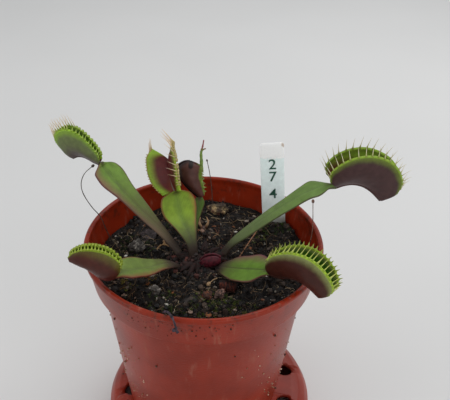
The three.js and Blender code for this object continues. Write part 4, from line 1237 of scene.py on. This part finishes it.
class FLYTRAP_OT_soil(bpy.types.Operator):
    """Make the soil: peat that fills the pot, with a rough uneven top"""
    bl_idname = "flytrap.soil"
    bl_label = "Soil"

    rings: bpy.props.IntProperty(
        name="Rings", description="Rings of points over the top of the soil", min=10, max=200,
        default=104)

    def execute(self, context):
        gap = POT_WALL + CLEARANCE
        bottom = -POT_HEIGHT + FLOOR_THICKNESS + CLEARANCE
        edge = COLLAR_RADIUS - gap
        profile = [(0, bottom), (FOOT_RADIUS - gap, bottom),
                   (BODY_RADIUS - gap, -COLLAR_HEIGHT + 0.8), (edge - 0.1, -COLLAR_HEIGHT + 1.4)]
        profile += [(edge * (1 - i / self.rings), SOIL_LEVEL) for i in range(self.rings + 1)]
        bm = spun(profile, SOIL_STEPS)
        for vert in bm.verts:
            if abs(vert.co.z - SOIL_LEVEL) < 0.01:
                vert.co.z = peat_height(vert.co.x, vert.co.y)
        material = peat_finish("damp peat", 0x0e0b0a, context.scene.flytrap_soil.colour)
        show(bm, "peat_bed", material, "peat", ["soil"])
        return {"FINISHED"}


class FLYTRAP_OT_litter(bpy.types.Operator):
    """Strew crumbs, fibres, bark and pale grains over the soil, and specks on the plastic"""
    bl_idname = "flytrap.litter"
    bl_label = "Crumbs and fibres"

    def execute(self, context):
        settings = context.scene.flytrap_soil
        self.strew_crumbs(settings.crumbs)
        self.strew_fibres(settings.fibres)
        self.strew_flakes(settings.flakes)
        self.strew_grains(settings.grains)
        self.strew_specks()
        return {"FINISHED"}

    def strew_crumbs(self, count):
        draw = random.Random(SEEDS["crumbs"])
        heap = Heap()
        for _ in range(count):
            place = spot(draw, CRUMB_REACH)
            size = lerp(*CRUMB_SIZES, draw.random() ** 2.2)
            half = [size * lerp(0.6, 1.25, draw.random()) for _ in range(3)]
            place.z = peat_height(place.x, place.y) + 0.35 * size
            heap.crumb(draw, place, half, palest=lerp(1.0, 0.7, size))
        heap.show("peat_crumbs")

    def strew_fibres(self, count):
        draw = random.Random(SEEDS["fibres"])
        heap = Heap()
        for _ in range(count):
            start = spot(draw, FIBRE_REACH)
            heading = direction(360 * draw.random())
            aside = Vector((-heading.y, heading.x, 0)) * draw.uniform(-1, 1)
            length = lerp(*FIBRE_LENGTHS, draw.random() ** 1.8)
            lift = draw.random() ** 3 * FIBRE_LIFT
            points = []
            for i in range(4):
                share = i / 3
                point = start + heading * length * share + aside * math.sin(math.pi * share)
                away = math.hypot(point.x, point.y)
                if away > CRUMB_REACH:
                    point *= CRUMB_REACH / away
                ground = peat_height(point.x, point.y)
                point.z = ground + 0.12 + lift * math.sin(math.pi * share)
                points.append(point)
            thick = lerp(*FIBRE_RADII, draw.random() ** 2)
            made = tube(heap.next(), SmoothLine(points), lambda u: thick * (1 - 0.5 * u), 3, 4)
            give_tone(heap.hand, made, draw.random())
        heap.show("peat_fibres")

    def strew_flakes(self, count):
        draw = random.Random(SEEDS["flakes"])
        heap = Heap()
        for _ in range(count):
            place = patch_spot(draw, FLAKE_REACH)
            size = lerp(*FLAKE_SIZES, draw.random() ** 2)
            half = (size, size * lerp(0.4, 0.8, draw.random()), FLAKE_HALF_THICKNESS)
            place.z = peat_height(place.x, place.y) + 0.35
            heap.crumb(draw, place, half, detail=2)
        heap.show("bark_crumbs")

    def strew_grains(self, count):
        draw = random.Random(SEEDS["grains"])
        heap = Heap()
        for _ in range(count):
            place = spot(draw, GRAIN_REACH)
            size = lerp(*GRAIN_SIZES, draw.random() ** 4)
            place.z = peat_height(place.x, place.y) + 0.6 * size
            heap.crumb(draw, place, (size * 1.3, size * 0.8, size * 0.45), roughness=0.6)
        heap.show("pale_grains")

    def strew_specks(self):
        """Specks of soil on the pot, and on the stand between its drain holes."""
        draw = random.Random(SEEDS["specks"])
        heap = Heap()
        for i in range(POT_SPECKS):
            kind = SPECK_KINDS[SPECK_ORDER[i % len(SPECK_ORDER)]]
            stretches, start, spread, power, largest, tones = kind
            azimuths = [draw.uniform(*stretch) for stretch in stretches]
            azimuth = draw.choice(azimuths) if len(azimuths) > 1 else azimuths[0]
            z = start + spread * draw.random() ** power
            tone = draw.uniform(*tones)
            size = lerp(SMALLEST_SPECK, largest, draw.random() ** 2)
            place = direction(azimuth) * (self.wall_radius(z) + 0.2 * size)
            heap.crumb(draw, (place.x, place.y, z), (size, size, size * 0.8), tone, turned=False)
        top = -POT_HEIGHT - CLEARANCE
        out, down = STAND_ROUND[0]
        spacing = 360 / DRAIN_COUNT
        for _ in range(STAND_SPECKS):
            azimuth = draw.uniform(0, 360)
            radius = draw.uniform(FOOT_RADIUS + 3.5, STAND_TOP_RADIUS + 2.6)
            drop = down * smooth(STAND_TOP_RADIUS, STAND_TOP_RADIUS + out, radius)
            nearest = (azimuth - DRAIN_FIRST_AZIMUTH + spacing / 2) % spacing - spacing / 2
            if abs(nearest) < DRAIN_BERTH:
                continue
            size = lerp(*STAND_SPECK_SIZES, draw.random() ** 2)
            place = direction(azimuth) * radius
            heap.crumb(draw, (place.x + STAND_SHIFT, place.y, top - drop + 0.3 * size),
                       (size, size * 0.8, size * 0.6), palest=0.5, turned=False)
        heap.show("soil_specks")

    def wall_radius(self, z):
        """The radius of the pot's outside at a height."""
        if z > -COLLAR_HEIGHT:
            return lerp(COLLAR_RADIUS, COLLAR_TOP_RADIUS,
                        (z + COLLAR_HEIGHT) / (COLLAR_HEIGHT - LIP_HEIGHT))
        return lerp(FOOT_RADIUS, BODY_RADIUS, (z + POT_HEIGHT) / (POT_HEIGHT - COLLAR_HEIGHT))


class FLYTRAP_OT_moss(bpy.types.Operator):
    """Grow the moss: small tufts of pointed leaves in patches on the soil"""
    bl_idname = "flytrap.moss"
    bl_label = "Moss"

    def execute(self, context):
        draw = random.Random(SEEDS["moss"])
        heap = Heap()
        for patch_x, patch_y, radius, count, tone in MOSS_PATCHES:
            for _ in range(round(count * context.scene.flytrap_soil.tufts)):
                place = patch_spot(draw, radius)
                x, y = patch_x + place.x, patch_y + place.y
                if math.hypot(x, y) > MOSS_REACH:
                    continue
                self.tuft(heap.next(), draw, Vector((x, y, peat_height(x, y))), tone)
        heap.show("moss_tufts")
        return {"FINISHED"}

    def tuft(self, bm, draw, root, tone):
        """A few thin pointed leaves that spread from one root."""
        size = lerp(*TUFT_SIZES, draw.random())
        turn = 360 * draw.random()
        shade = clamp(tone + 0.35 * (draw.random() - 0.5))
        for i in range(TUFT_LEAVES):
            azimuth = turn + 360 / TUFT_LEAVES * i + 20 * draw.random()
            out = direction(azimuth, lerp(25, 70, draw.random()))
            matrix = (Matrix.Translation(root + out * size * 0.45)
                      @ out.to_track_quat("Z", "X").to_matrix().to_4x4()
                      @ Matrix.Diagonal((1, 0.35, 1, 1)))
            made = bmesh.ops.create_cone(bm, cap_ends=True, segments=3, radius1=0.26 * size,
                                         radius2=0.02, depth=size, matrix=matrix)["verts"]
            give_tone(bm, made, shade)


class FLYTRAP_OT_crown(bpy.types.Operator):
    """Make the crown: a low dome of old leaf bases with pointed scales round it"""
    bl_idname = "flytrap.crown"
    bl_label = "Crown"

    def execute(self, context):
        draw = random.Random(SEEDS["crown"])
        ground = soil_height(*CROWN_CENTRE)
        bm = bmesh.new()
        lump(bm, (*CROWN_CENTRE, ground), CROWN_HALF, 0, 0.22, 4, 4.2)
        for azimuth, reach, height, width in CROWN_SCALES:
            self.scale(bm, azimuth, reach, ground + height, ground, width, 0.5)
        for _ in range(CROWN_BITS):
            self.scale(bm, 360 * draw.random(), draw.uniform(3.6, 9.2),
                       ground + draw.uniform(0.8, 4.2), ground, draw.uniform(0.6, 1.5),
                       draw.uniform(0, 1))
        show(bm, "crown_scales", dry_finish("crown", 0x0b0807, 0x301a17, 0.9), "crown", ["crown"])
        self.strew_crown(draw, ground)
        self.strew_bases(draw)
        return {"FINISHED"}

    def strew_crown(self, draw, ground):
        """Crumbs that cling to the crown."""
        heap = Heap()
        for _ in range(CROWN_CRUMBS):
            out = 1.7 * math.sqrt(draw.random())
            way = direction(360 * draw.random()) * out
            x = CROWN_CENTRE[0] + way.x * CROWN_HALF[0]
            y = CROWN_CENTRE[1] + way.y * CROWN_HALF[1]
            z = ground + CROWN_HALF[2] * math.sqrt(max(0.0, 1 - out * out)) + 0.4
            size = lerp(*CROWN_CRUMB_SIZES, draw.random() ** 2.5)
            heap.crumb(draw, (x, y, z), [size * draw.uniform(0.6, 1.4) for _ in range(3)])
        heap.show("crown_crumbs")

    def strew_bases(self, draw):
        """Thin dead leaf bases that stand in the peat behind the crown."""
        heap = Heap()
        for _ in range(DEAD_BASES):
            out = patch_spot(draw, 1)
            x = DEAD_BASES_CENTRE[0] + DEAD_BASES_HALF[0] * out.x
            y = DEAD_BASES_CENTRE[1] + DEAD_BASES_HALF[1] * out.y
            root = Vector((x, y, peat_height(x, y) - 0.2))
            way = direction(360 * draw.random(), draw.uniform(15, 75))
            reach = draw.uniform(1.5, 4.2)
            line = SmoothLine([root, root + way * reach * 0.6,
                               root + way * reach + direction(360 * draw.random()) * 0.7])
            thick = draw.uniform(0.12, 0.34)
            made = tube(heap.next(), line, lambda u: thick * (1 - 0.8 * u), 5, 6, 0.5)
            give_tone(heap.hand, made, draw.random())
        heap.show("dead_bases")

    def scale(self, bm, azimuth, reach, tip_height, ground, width, curl):
        """A pointed scale that rises from the crown and bends over by curl at its tip."""
        way = direction(azimuth)
        side = UP.cross(way)
        centre = Vector((*CROWN_CENTRE, 0))
        line = SmoothLine([
            centre + way * 1.5 + UP * (ground + 0.6),
            centre + way * reach * 0.55 + UP * (lerp(ground + 1.6, tip_height, 0.6) + 0.6),
            centre + way * reach * 0.82 + UP * (tip_height + 0.4 * curl),
            centre + way * reach + UP * (tip_height - 0.5 * curl),
        ])

        def place(turn, share):
            angle = FULL_TURN * turn
            across = math.cos(angle)
            half = width * 0.75 * (1.02 - share) ** 0.8 * (0.8 + 0.9 * share * (1 - share))
            thick = lerp(1.3, 0.3, share) * abs(math.sin(angle)) ** 0.7 / 2
            cup = 0.45 * half * across * across
            sign = 1 if turn < 0.5 else -1
            return line.at(share) + side * across * half + UP * (sign * thick - cup)

        wrapped_body(bm, 16, 14, place)


class FLYTRAP_OT_leaves(bpy.types.Operator):
    """Make the six leaf stalks: round at the stem and widening to a winged blade"""
    bl_idname = "flytrap.leaves"
    bl_label = "Leaf stalks"

    def execute(self, context):
        for name, leaf in LEAVES.items():
            bm = bmesh.new()
            wrapped_body(bm, *BLADE_STEPS, self.skin_of(leaf, context.scene.flytrap_plant))
            material = blade_finish(f"leaf {name}", *LEAF_COLOURS[name])
            show(bm, f"stalk_{name}", material, "leaf", [f"leaf_{name}"])
        return {"FINISHED"}

    def skin_of(self, leaf, settings):
        """The place of any point on a leaf stalk's skin."""
        line = SmoothLine(leaf["stalk"])
        run = direction(leaf["azimuth"])
        fold = math.tan(math.radians(leaf["fold"]))
        wave, groove = settings.wave / MM, settings.groove / MM

        def place(turn, share):
            along_run, height, half = line.at(share)
            slope = line.slope(share)
            centre = Vector((*leaf["root"], height)) + run * along_run
            along = (run * slope.x + UP * slope.y).normalized()
            side = UP.cross(run)
            tilt = Matrix.Rotation(math.radians(leaf["roll"]), 3, along)
            face = tilt @ along.cross(side)
            side = tilt @ side
            angle = FULL_TURN * turn
            across, lift = math.cos(angle), math.sin(angle)
            out = abs(across)
            winged = clamp((half - 1.6) / 2.6)
            middle = lerp(leaf["stem"], BLADE_MIDDLE, winged)
            flat = lerp(middle, BLADE_EDGE, out) * min(1.0, 3 * abs(lift)) ** 0.5
            thick = lerp(abs(lift) * middle, flat, winged) / 2
            rise = (out - 1) * half * fold * winged
            rise += wave * out ** 3 * math.sin(26 * share + 2.1 * across) * winged
            rib = math.exp(-(across / 0.1) ** 2) * winged
            if lift > 0:
                rise += thick - groove * rib
            else:
                rise -= thick + 1.2 * groove * rib
            return centre + side * across * half + face * rise

        return place


def trap_forms(neck, trap):
    """A trap's sideways direction, its midrib's line, the place of a point from the neck, and
    the place of any point on its two lobes."""
    forward = direction(*trap["forward"])
    opens = direction(*trap["opens"])
    opens = (opens - forward * opens.dot(forward)).normalized()
    side = opens.cross(forward)
    midrib, margin = SmoothLine(trap["midrib"]), SmoothLine(trap["margin"])
    neck = Vector(neck)

    def place(a, u, v):
        return neck + forward * a + opens * u + side * v

    def lobe(s, t, way):
        flat = midrib.at(s).lerp(margin.at(s), t)
        arch = math.sin(math.pi * clamp(s))
        if way < 0:
            shift = trap.get("flare", 0) * s * s - trap.get("narrow", 0) * arch
        else:
            shift = trap.get("spread", 0) * math.cos(math.pi * s)
        parting = 0.3 + (trap["gape"] - 0.3) * t ** 1.3 * (0.55 + 0.45 * arch) + shift * t
        belly = trap["bulge"] * (0.35 + 0.65 * arch) * math.sin(math.pi * t ** 0.85)
        return place(flat.x, flat.y, way * (parting + belly))

    return side, midrib, place, lobe


def add_lobe(bm, lobe, side, way, steps=LOBE_STEPS, crumple=0.0):
    """One lobe of a trap: a thin shell, rounded over at its margin."""
    step = 0.02

    def place(turn, s):
        t = 1 - abs(2 * turn - 1)
        outer = 1 if turn < 0.5 else -1
        point = lobe(s, t, way)
        length = lobe(min(s + step, 1), t, way) - lobe(max(s - step, 0), t, way)
        width = lobe(s, min(t + step, 1), way) - lobe(s, max(t - step, 0), way)
        normal = length.cross(width).normalized()
        if normal.dot(side) * way < 0:
            normal = -normal
        rounding = math.sqrt(max(0.0, 1 - clamp((t - 0.94) / 0.06) ** 2))
        root = math.sqrt(max(0.0, 1 - clamp((0.05 - t) / 0.05) ** 2))
        offset = outer * LOBE_THICKNESS / 2 * rounding * root
        offset += 0.12 * noise.noise(point * 0.5)
        if crumple:
            offset += crumple * noise.noise(point * 0.9)
        return point + normal * offset

    wrapped_body(bm, *steps, place, 0 if way > 0 else OTHER_LOBE)


def add_rib(bm, midrib, place):
    """The midrib: a bar whose skin map says that it is the root of the lobes."""
    points = [midrib.at(i / 5) for i in range(6)]
    line = SmoothLine([place(p.x, p.y, 0) for p in points])
    made = tube(bm, line, lambda u: lerp(*MIDRIB_RADII, u), 14, 24)
    skin = bm.loops.layers.uv.verify()
    for face in faces_of(made):
        for loop in face.loops:
            loop[skin].uv.x = 0


def add_teeth(bm, lobe, side, trap, draw, settings):
    """The rows of teeth along the margins, each tooth bending a little as it tapers."""
    for way, first, last, count, short, long, lean, rise in trap["teeth"]:
        for i in range(count):
            share = (i + 0.5 + 0.3 * (draw.random() - 0.5)) / count
            s = lerp(first, last, share)
            edge = lobe(s, 1, way)
            outward = (edge - lobe(s, 0.9, way)).normalized()
            across = -side * way
            outward = (outward + across * lean * lerp(0.8, 1.2, draw.random())
                       + UP * rise).normalized()
            reach = lerp(short, long, share) * lerp(0.8, 1.1, draw.random())
            reach *= settings.cilium_length
            radius = settings.cilium_radius / MM * (0.6 if reach > 2.8 else 1)
            bend = across * reach * lerp(0.02, 0.16, draw.random())
            line = SmoothLine([edge - outward * 0.5, edge + outward * reach * 0.5 + bend * 0.2,
                               edge + outward * reach + bend])
            made = tube(bm, line, lambda u: radius * (1 - 0.84 * u) * (1 + 1.8 * (1 - u) ** 7),
                        6, 6)
            give_tone(bm, made, smooth(1.4, 3.2, reach))


class FLYTRAP_OT_traps(bpy.types.Operator):
    """Make the six traps: two thin lobes on a midrib, with a row of teeth on each margin"""
    bl_idname = "flytrap.traps"
    bl_label = "Traps"

    def execute(self, context):
        settings = context.scene.flytrap_plant
        for i, (name, leaf) in enumerate(LEAVES.items()):
            trap = leaf["trap"]
            run, height, _ = leaf["stalk"][-1]
            neck = Vector((*leaf["root"], height)) + direction(leaf["azimuth"]) * run
            side, midrib, place, lobe = trap_forms(neck, trap)
            bm = bmesh.new()
            for way in (-1, 1):
                add_lobe(bm, lobe, side, way)
            add_rib(bm, midrib, place)
            if "horn" in trap:
                self.show_horn(place, trap)
            material = trap_finish(f"trap {name}", TRAP_COLOURS[name])
            show(bm, f"lobes_{name}", material, "trap", [f"trap_{name}"])
            bm = toned_mesh()
            add_teeth(bm, lobe, side, trap, random.Random(SEEDS["teeth"] + i), settings)
            material = teeth_finish(f"teeth {name}", *TEETH_COLOURS[name])
            show(bm, f"teeth_{name}", material, "trap")
        return {"FINISHED"}

    def show_horn(self, place, trap):
        """The spur that one trap carries past its lobes, with a short fork and a red tip."""
        bm = bmesh.new()
        for name, first, steps in (("horn", HORN_RADIUS, 30), ("fork", HORN_TIP_RADIUS, 10)):
            line = SmoothLine([place(a, u, 0) for a, u in trap[name]])
            tube(bm, line, lambda u: lerp(first, HORN_TIP_RADIUS * 0.7, u)
                 * (1 + 0.1 * math.sin(40 * u)), 12, steps)
        f = Finish("horn", Roughness=0.45)
        grade = f.ease(f.height(), RIM.z + 22.4, RIM.z + 24.4)
        mottle = f.ease(f.noise(1.2, 3), 0.3, 0.7)
        green = f.mix(mottle, tint(0x4f6a26), tint(0x7d9638))
        colour = f.over(green, grade, 0x8f4a4c)
        show(bm, "horn_back", f.done(colour, 0.45, f.bump(mottle, 0.06, 0.5)), "trap")


class FLYTRAP_OT_small_growth(bpy.types.Operator):
    """Make the folded young leaf beside the crown and the dried trap on the soil"""
    bl_idname = "flytrap.small_growth"
    bl_label = "Young leaf and old trap"

    def execute(self, context):
        for name, trap, crumple in (("young_leaf", YOUNG_LEAF, 0.05), ("old_trap", OLD_TRAP, 0.5)):
            side, midrib, place, lobe = trap_forms(trap["neck"], trap)
            bm = bmesh.new()
            for way in (-1, 1):
                add_lobe(bm, lobe, side, way, SMALL_LOBE_STEPS, crumple)
            add_rib(bm, midrib, place)
            if name == "young_leaf":
                material, slot = self.young_finish(), "young_leaf"
            else:
                self.show_comb(lobe, side)
                material, slot = dry_finish("dried trap", 0x0e0807, 0x26110d, 1.2), "dried_leaf"
            show(bm, f"{name}_form", material, slot, [name])
        return {"FINISHED"}

    def show_comb(self, lobe, side):
        """The dried trap's teeth: a comb of reddish threads over its upper lobe."""
        draw = random.Random(SEEDS["comb"])
        bm = bmesh.new()
        for i in range(COMB_THREADS):
            s = 0.04 + 0.92 * (i + 0.4 * draw.random()) / COMB_THREADS
            points = [lobe(s, t, 1) + side * 0.55 for t in (0.1, 0.5, 0.95)]
            reach = (points[2] - points[1]).normalized() * draw.uniform(0.8, 1.8)
            points.append(points[2] + reach - side * 0.4)
            tube(bm, SmoothLine(points), lambda u: COMB_RADIUS * (1 - 0.6 * u), 6, 12)
        show(bm, "comb_old_trap", dry_finish("dried teeth", 0x2a100c, 0x7a3a2a, 1.4), "dried_leaf")

    def young_finish(self):
        f = Finish("young leaf", Specular_IOR_Level=0.25)
        mottle = f.noise(0.9, 4)
        base = f.mottled(mottle, tint(0x340f17), tint(0x5e1d29))
        return f.done(base, f.ease(mottle, 0.3, 0.7, 0.4, 0.55), f.bump(f.noise(5.0, 3), 0.08, 0.5))


class FLYTRAP_OT_label(bpy.types.Operator):
    """Make the plant label: a thin plastic tag with plain numbers down its face"""
    bl_idname = "flytrap.label"
    bl_label = "Plant label"

    def execute(self, context):
        settings = context.scene.flytrap_label
        half = LABEL_WIDTH / 2
        outline = [
            (0, LABEL_POINT), (half, LABEL_SHOULDER), (half, LABEL_TOP - LABEL_CORNER),
            (half - LABEL_CORNER, LABEL_TOP), (-half + LABEL_CORNER, LABEL_TOP),
            (-half, LABEL_TOP - LABEL_CORNER), (-half, LABEL_SHOULDER),
        ]
        bm = bmesh.new()
        corners = [bm.verts.new((x, LABEL_THICKNESS / 2, z)) for x, z in outline]
        face = bm.faces.new(corners)
        pulled = bmesh.ops.extrude_face_region(bm, geom=[face])["geom"]
        bmesh.ops.translate(bm, vec=(0, -LABEL_THICKNESS, 0),
                            verts=[e for e in pulled if isinstance(e, bmesh.types.BMVert)])
        bmesh.ops.recalc_face_normals(bm, faces=bm.faces)
        rims = [e for e in bm.edges if abs(e.verts[0].co.y - e.verts[1].co.y) < 0.01]
        bmesh.ops.bevel(bm, geom=rims, offset=LABEL_BEVEL, offset_type="OFFSET", segments=3,
                        profile=0.5, affect="EDGES", material=-1)
        for cut in range(LABEL_CUTS):
            height = lerp(LABEL_SHOULDER, LABEL_TOP, (cut + 0.5) / LABEL_CUTS)
            bmesh.ops.bisect_plane(bm, geom=bm.verts[:] + bm.edges[:] + bm.faces[:],
                                   plane_co=(0, 0, height), plane_no=(0, 0, 1))
        self.set_upright(bm)
        corner = max((vert.co for vert in bm.verts), key=lambda point: point.x + point.z)
        material = label_finish("label plastic", settings.colour, settings.band, corner)
        show(bm, "label_tag", material, "label_plastic", ["plant_label"], smooth_faces=False)
        self.write(settings.numbers)
        return {"FINISHED"}

    def set_upright(self, bm):
        lean = Matrix.Rotation(math.radians(-LABEL_LEAN), 4, "Y")
        foot = Matrix.Translation((*LABEL_FOOT, LABEL_SHOULDER))
        drop = Matrix.Translation((0, 0, -LABEL_SHOULDER))
        bmesh.ops.transform(bm, matrix=foot @ lean @ drop, verts=bm.verts)

    def write(self, numbers):
        """Plain numbers, one below another, in faded dark ink a hair proud of the face."""
        bm = bmesh.new()
        place = LABEL_TOP - NUMBER_START
        for mark in numbers:
            if mark == " ":
                place -= SPACE_STEP
                continue
            text = bpy.data.curves.new("number", "FONT")
            text.body = mark
            text.size = NUMBER_SIZE
            text.extrude = 0.03
            text.offset = 0.06
            text.align_x = "CENTER"
            writer = new_object("number", text)
            bpy.context.view_layer.update()
            graph = bpy.context.evaluated_depsgraph_get()
            glyph = bpy.data.meshes.new_from_object(writer.evaluated_get(graph))
            glyph.transform(Matrix.Translation((0, -LABEL_THICKNESS / 2 - 0.02, place))
                            @ Matrix.Rotation(math.radians(90), 4, "X"))
            bm.from_mesh(glyph)
            bpy.data.objects.remove(writer)
            bpy.data.meshes.remove(glyph)
            bpy.data.curves.remove(text)
            place -= NUMBER_STEP
        self.set_upright(bm)
        show(bm, "label_numbers", dry_finish("ink", 0x1f4a3c, 0x3d6a58, 2.5), "label_plastic",
             smooth_faces=False)


class FLYTRAP_OT_threads(bpy.types.Operator):
    """Make the thin things: moss stalks, straw, stick, scrap, rootlet and shoot tips"""
    bl_idname = "flytrap.threads"
    bl_label = "Stalks and straws"

    def execute(self, context):
        for name, thread in THREADS.items():
            bm = bmesh.new()
            line = SmoothLine(thread["points"])
            radius = thread["radius"] * thread.get("slim", THREAD_SLIM)
            ripple = thread.get("ripple", THREAD_RIPPLE)

            def radius_at(share):
                knots = ripple * math.sin(37 * share) * math.cos(11 * share)
                return radius * lerp(1.0, 0.66, share) * (1 + knots)

            tube(bm, line, radius_at, 10, 12 * (len(thread["points"]) - 1))
            for share, shift, half, turn, seed in thread.get("lumps", ()):
                lump(bm, line.at(share) + Vector(shift), half, turn, 0.6, 3, seed)
            if thread["knob"]:
                self.add_knob(bm, line, thread["knob"])
            material = dry_finish(name.replace("_", " "), *thread["colours"])
            show(bm, f"{name}_form", material, "dry_stem", [name])
        self.rootlet()
        self.shoot_tips()
        return {"FINISHED"}

    def add_knob(self, bm, line, radius):
        """A small egg at the end of a line."""
        made = bmesh.ops.create_icosphere(bm, subdivisions=3, radius=1)["verts"]
        turn = line.slope(1).to_track_quat("Z", "X").to_matrix().to_4x4()
        stretch = Matrix.Diagonal((radius * 0.85, radius * 0.85, radius * 1.25, 1))
        bmesh.ops.transform(bm, matrix=Matrix.Translation(line.at(1)) @ turn @ stretch, verts=made)

    def rootlet(self):
        bm = bmesh.new()
        for points in ROOTLET_BRANCHES:
            tube(bm, SmoothLine(points),
                 lambda u: 0.7 * ROOTLET_RADIUS * (1 + 0.3 * math.sin(19 * u)), 8, 14)
        lump(bm, ROOTLET_BRANCHES[0][2], (0.6, 0.6, 0.6), 0, 0.3, 3, 2.2)
        material = dry_finish("rootlet", 0x7c5a3c, 0xb89468)
        show(bm, "rootlet_form", material, "dry_stem", ["rootlet"])

    def shoot_tips(self):
        bm = toned_mesh()
        for points in SHOOT_TIPS:
            made = tube(bm, SmoothLine(points), lambda u: SHOOT_RADIUS * (1 - 0.85 * u), 12, 18)
            give_tone(bm, made, 1)
        lump(bm, (-1.2, 22.4, -12.2), (1.4, 1.4, 1.2), 0, 0.2, 3, 6.1)
        material = teeth_finish("shoot tips", 0x4a2a1c, 0xcaa57e)
        show(bm, "shoot_tips_form", material, "dry_stem", ["shoot_tips"])


class FLYTRAP_OT_chips(bpy.types.Operator):
    """Make the loose bark, stone and fibre lumps that lie in the soil"""
    bl_idname = "flytrap.chips"
    bl_label = "Loose lumps"

    def execute(self, context):
        for i, (name, (slot, centre, half, turn, pattern)) in enumerate(CHIPS.items()):
            bm = bmesh.new()
            lump(bm, centre, half, math.radians(turn), 0.38, 5, 3.7 * (i + 1))
            show(bm, f"{name}_form", chip_finish(name.replace("_", " "), *pattern), slot, [name])
        return {"FINISHED"}


class FLYTRAP_OT_stage(bpy.types.Operator):
    """Set up the floor, the camera at the photograph's angle, and the soft lights"""
    bl_idname = "flytrap.stage"
    bl_label = "Stage"

    def execute(self, context):
        settings = context.scene.flytrap_stage
        self.lay_floor(settings)
        self.set_camera(context)
        self.light(context, settings)
        return {"FINISHED"}

    def lay_floor(self, settings):
        bm = bmesh.new()
        bmesh.ops.create_grid(bm, x_segments=8, y_segments=8, size=4)
        mesh = new_mesh("floor", bm)
        f = Finish("floor", Roughness=0.85)
        colour = (*settings.floor_colour, 1)
        mesh.materials.append(f.done(f.mottled(f.noise(0.004, 2), colour, shaded(colour, 0.97))))
        floor = new_object("floor", mesh)

    def set_camera(self, context):
        camera = bpy.data.cameras.new("camera")
        camera.lens = CAMERA_LENS
        camera.sensor_width = 36
        eye = new_object("camera", camera)
        place = (RIM + Vector(CAMERA_PLACE)) * MM
        eye.matrix_world = (Matrix.Translation(place)
                            @ Matrix.Rotation(math.radians(90 - CAMERA_PITCH), 4, "X")
                            @ Matrix.Rotation(math.radians(CAMERA_ROLL), 4, "Z"))
        context.scene.camera = eye

    def light(self, context, settings):
        lamps = (
            ("key", settings.key_power, 0.7, (0.32, 0.35, 0.7)),
            ("side", settings.fill_power, 0.5, (-0.65, -0.2, 0.4)),
            ("front", 1.8 * settings.fill_power, 0.7, (0.45, -0.75, 0.4)),
        )
        aim = Vector((0, 0, 0.08))
        for name, power, size, place in lamps:
            lamp = bpy.data.lights.new(name, "AREA")
            lamp.energy = power
            lamp.size = size
            holder = new_object(name, lamp)
            away = Vector(place) - aim
            holder.matrix_world = (Matrix.Translation(place)
                                   @ away.to_track_quat("Z", "Y").to_matrix().to_4x4())
        world = bpy.data.worlds.new("studio")
        world.use_nodes = True
        ground = world.node_tree.nodes["Background"]
        ground.inputs["Color"].default_value = (0.98, 0.99, 1.0, 1)
        ground.inputs["Strength"].default_value = settings.sky
        context.scene.world = world
        context.scene.view_settings.view_transform = "Standard"


PARTS = [
    FLYTRAP_OT_pot, FLYTRAP_OT_stand, FLYTRAP_OT_soil, FLYTRAP_OT_litter, FLYTRAP_OT_moss,
    FLYTRAP_OT_crown, FLYTRAP_OT_leaves, FLYTRAP_OT_traps, FLYTRAP_OT_small_growth,
    FLYTRAP_OT_label, FLYTRAP_OT_threads, FLYTRAP_OT_chips, FLYTRAP_OT_stage,
]
SETTINGS = {
    "flytrap_pot": PotSettings, "flytrap_soil": SoilSettings, "flytrap_plant": PlantSettings,
    "flytrap_label": LabelSettings, "flytrap_stage": StageSettings,
}


class FLYTRAP_PT_parts(bpy.types.Panel):
    """Lists the pieces and their settings"""
    bl_label = "Potted venus flytrap"
    bl_idname = "FLYTRAP_PT_parts"
    bl_space_type = "VIEW_3D"
    bl_region_type = "UI"
    bl_category = "Flytrap"

    def draw(self, context):
        for part in PARTS:
            self.layout.operator(part.bl_idname)
        for name, group in SETTINGS.items():
            box = self.layout.box()
            for setting in group.__annotations__:
                box.prop(getattr(context.scene, name), setting)


def register():
    for group in SETTINGS.values():
        bpy.utils.register_class(group)
    for part in [*PARTS, FLYTRAP_PT_parts]:
        bpy.utils.register_class(part)
    for name, group in SETTINGS.items():
        setattr(bpy.types.Scene, name, bpy.props.PointerProperty(type=group))


def unregister():
    for name in SETTINGS:
        delattr(bpy.types.Scene, name)
    for part in reversed([*SETTINGS.values(), *PARTS, FLYTRAP_PT_parts]):
        bpy.utils.unregister_class(part)


def main():
    register()
    for part in PARTS:
        family, name = part.bl_idname.split(".")
        getattr(getattr(bpy.ops, family), name)()


if __name__ == "__main__":
    main()
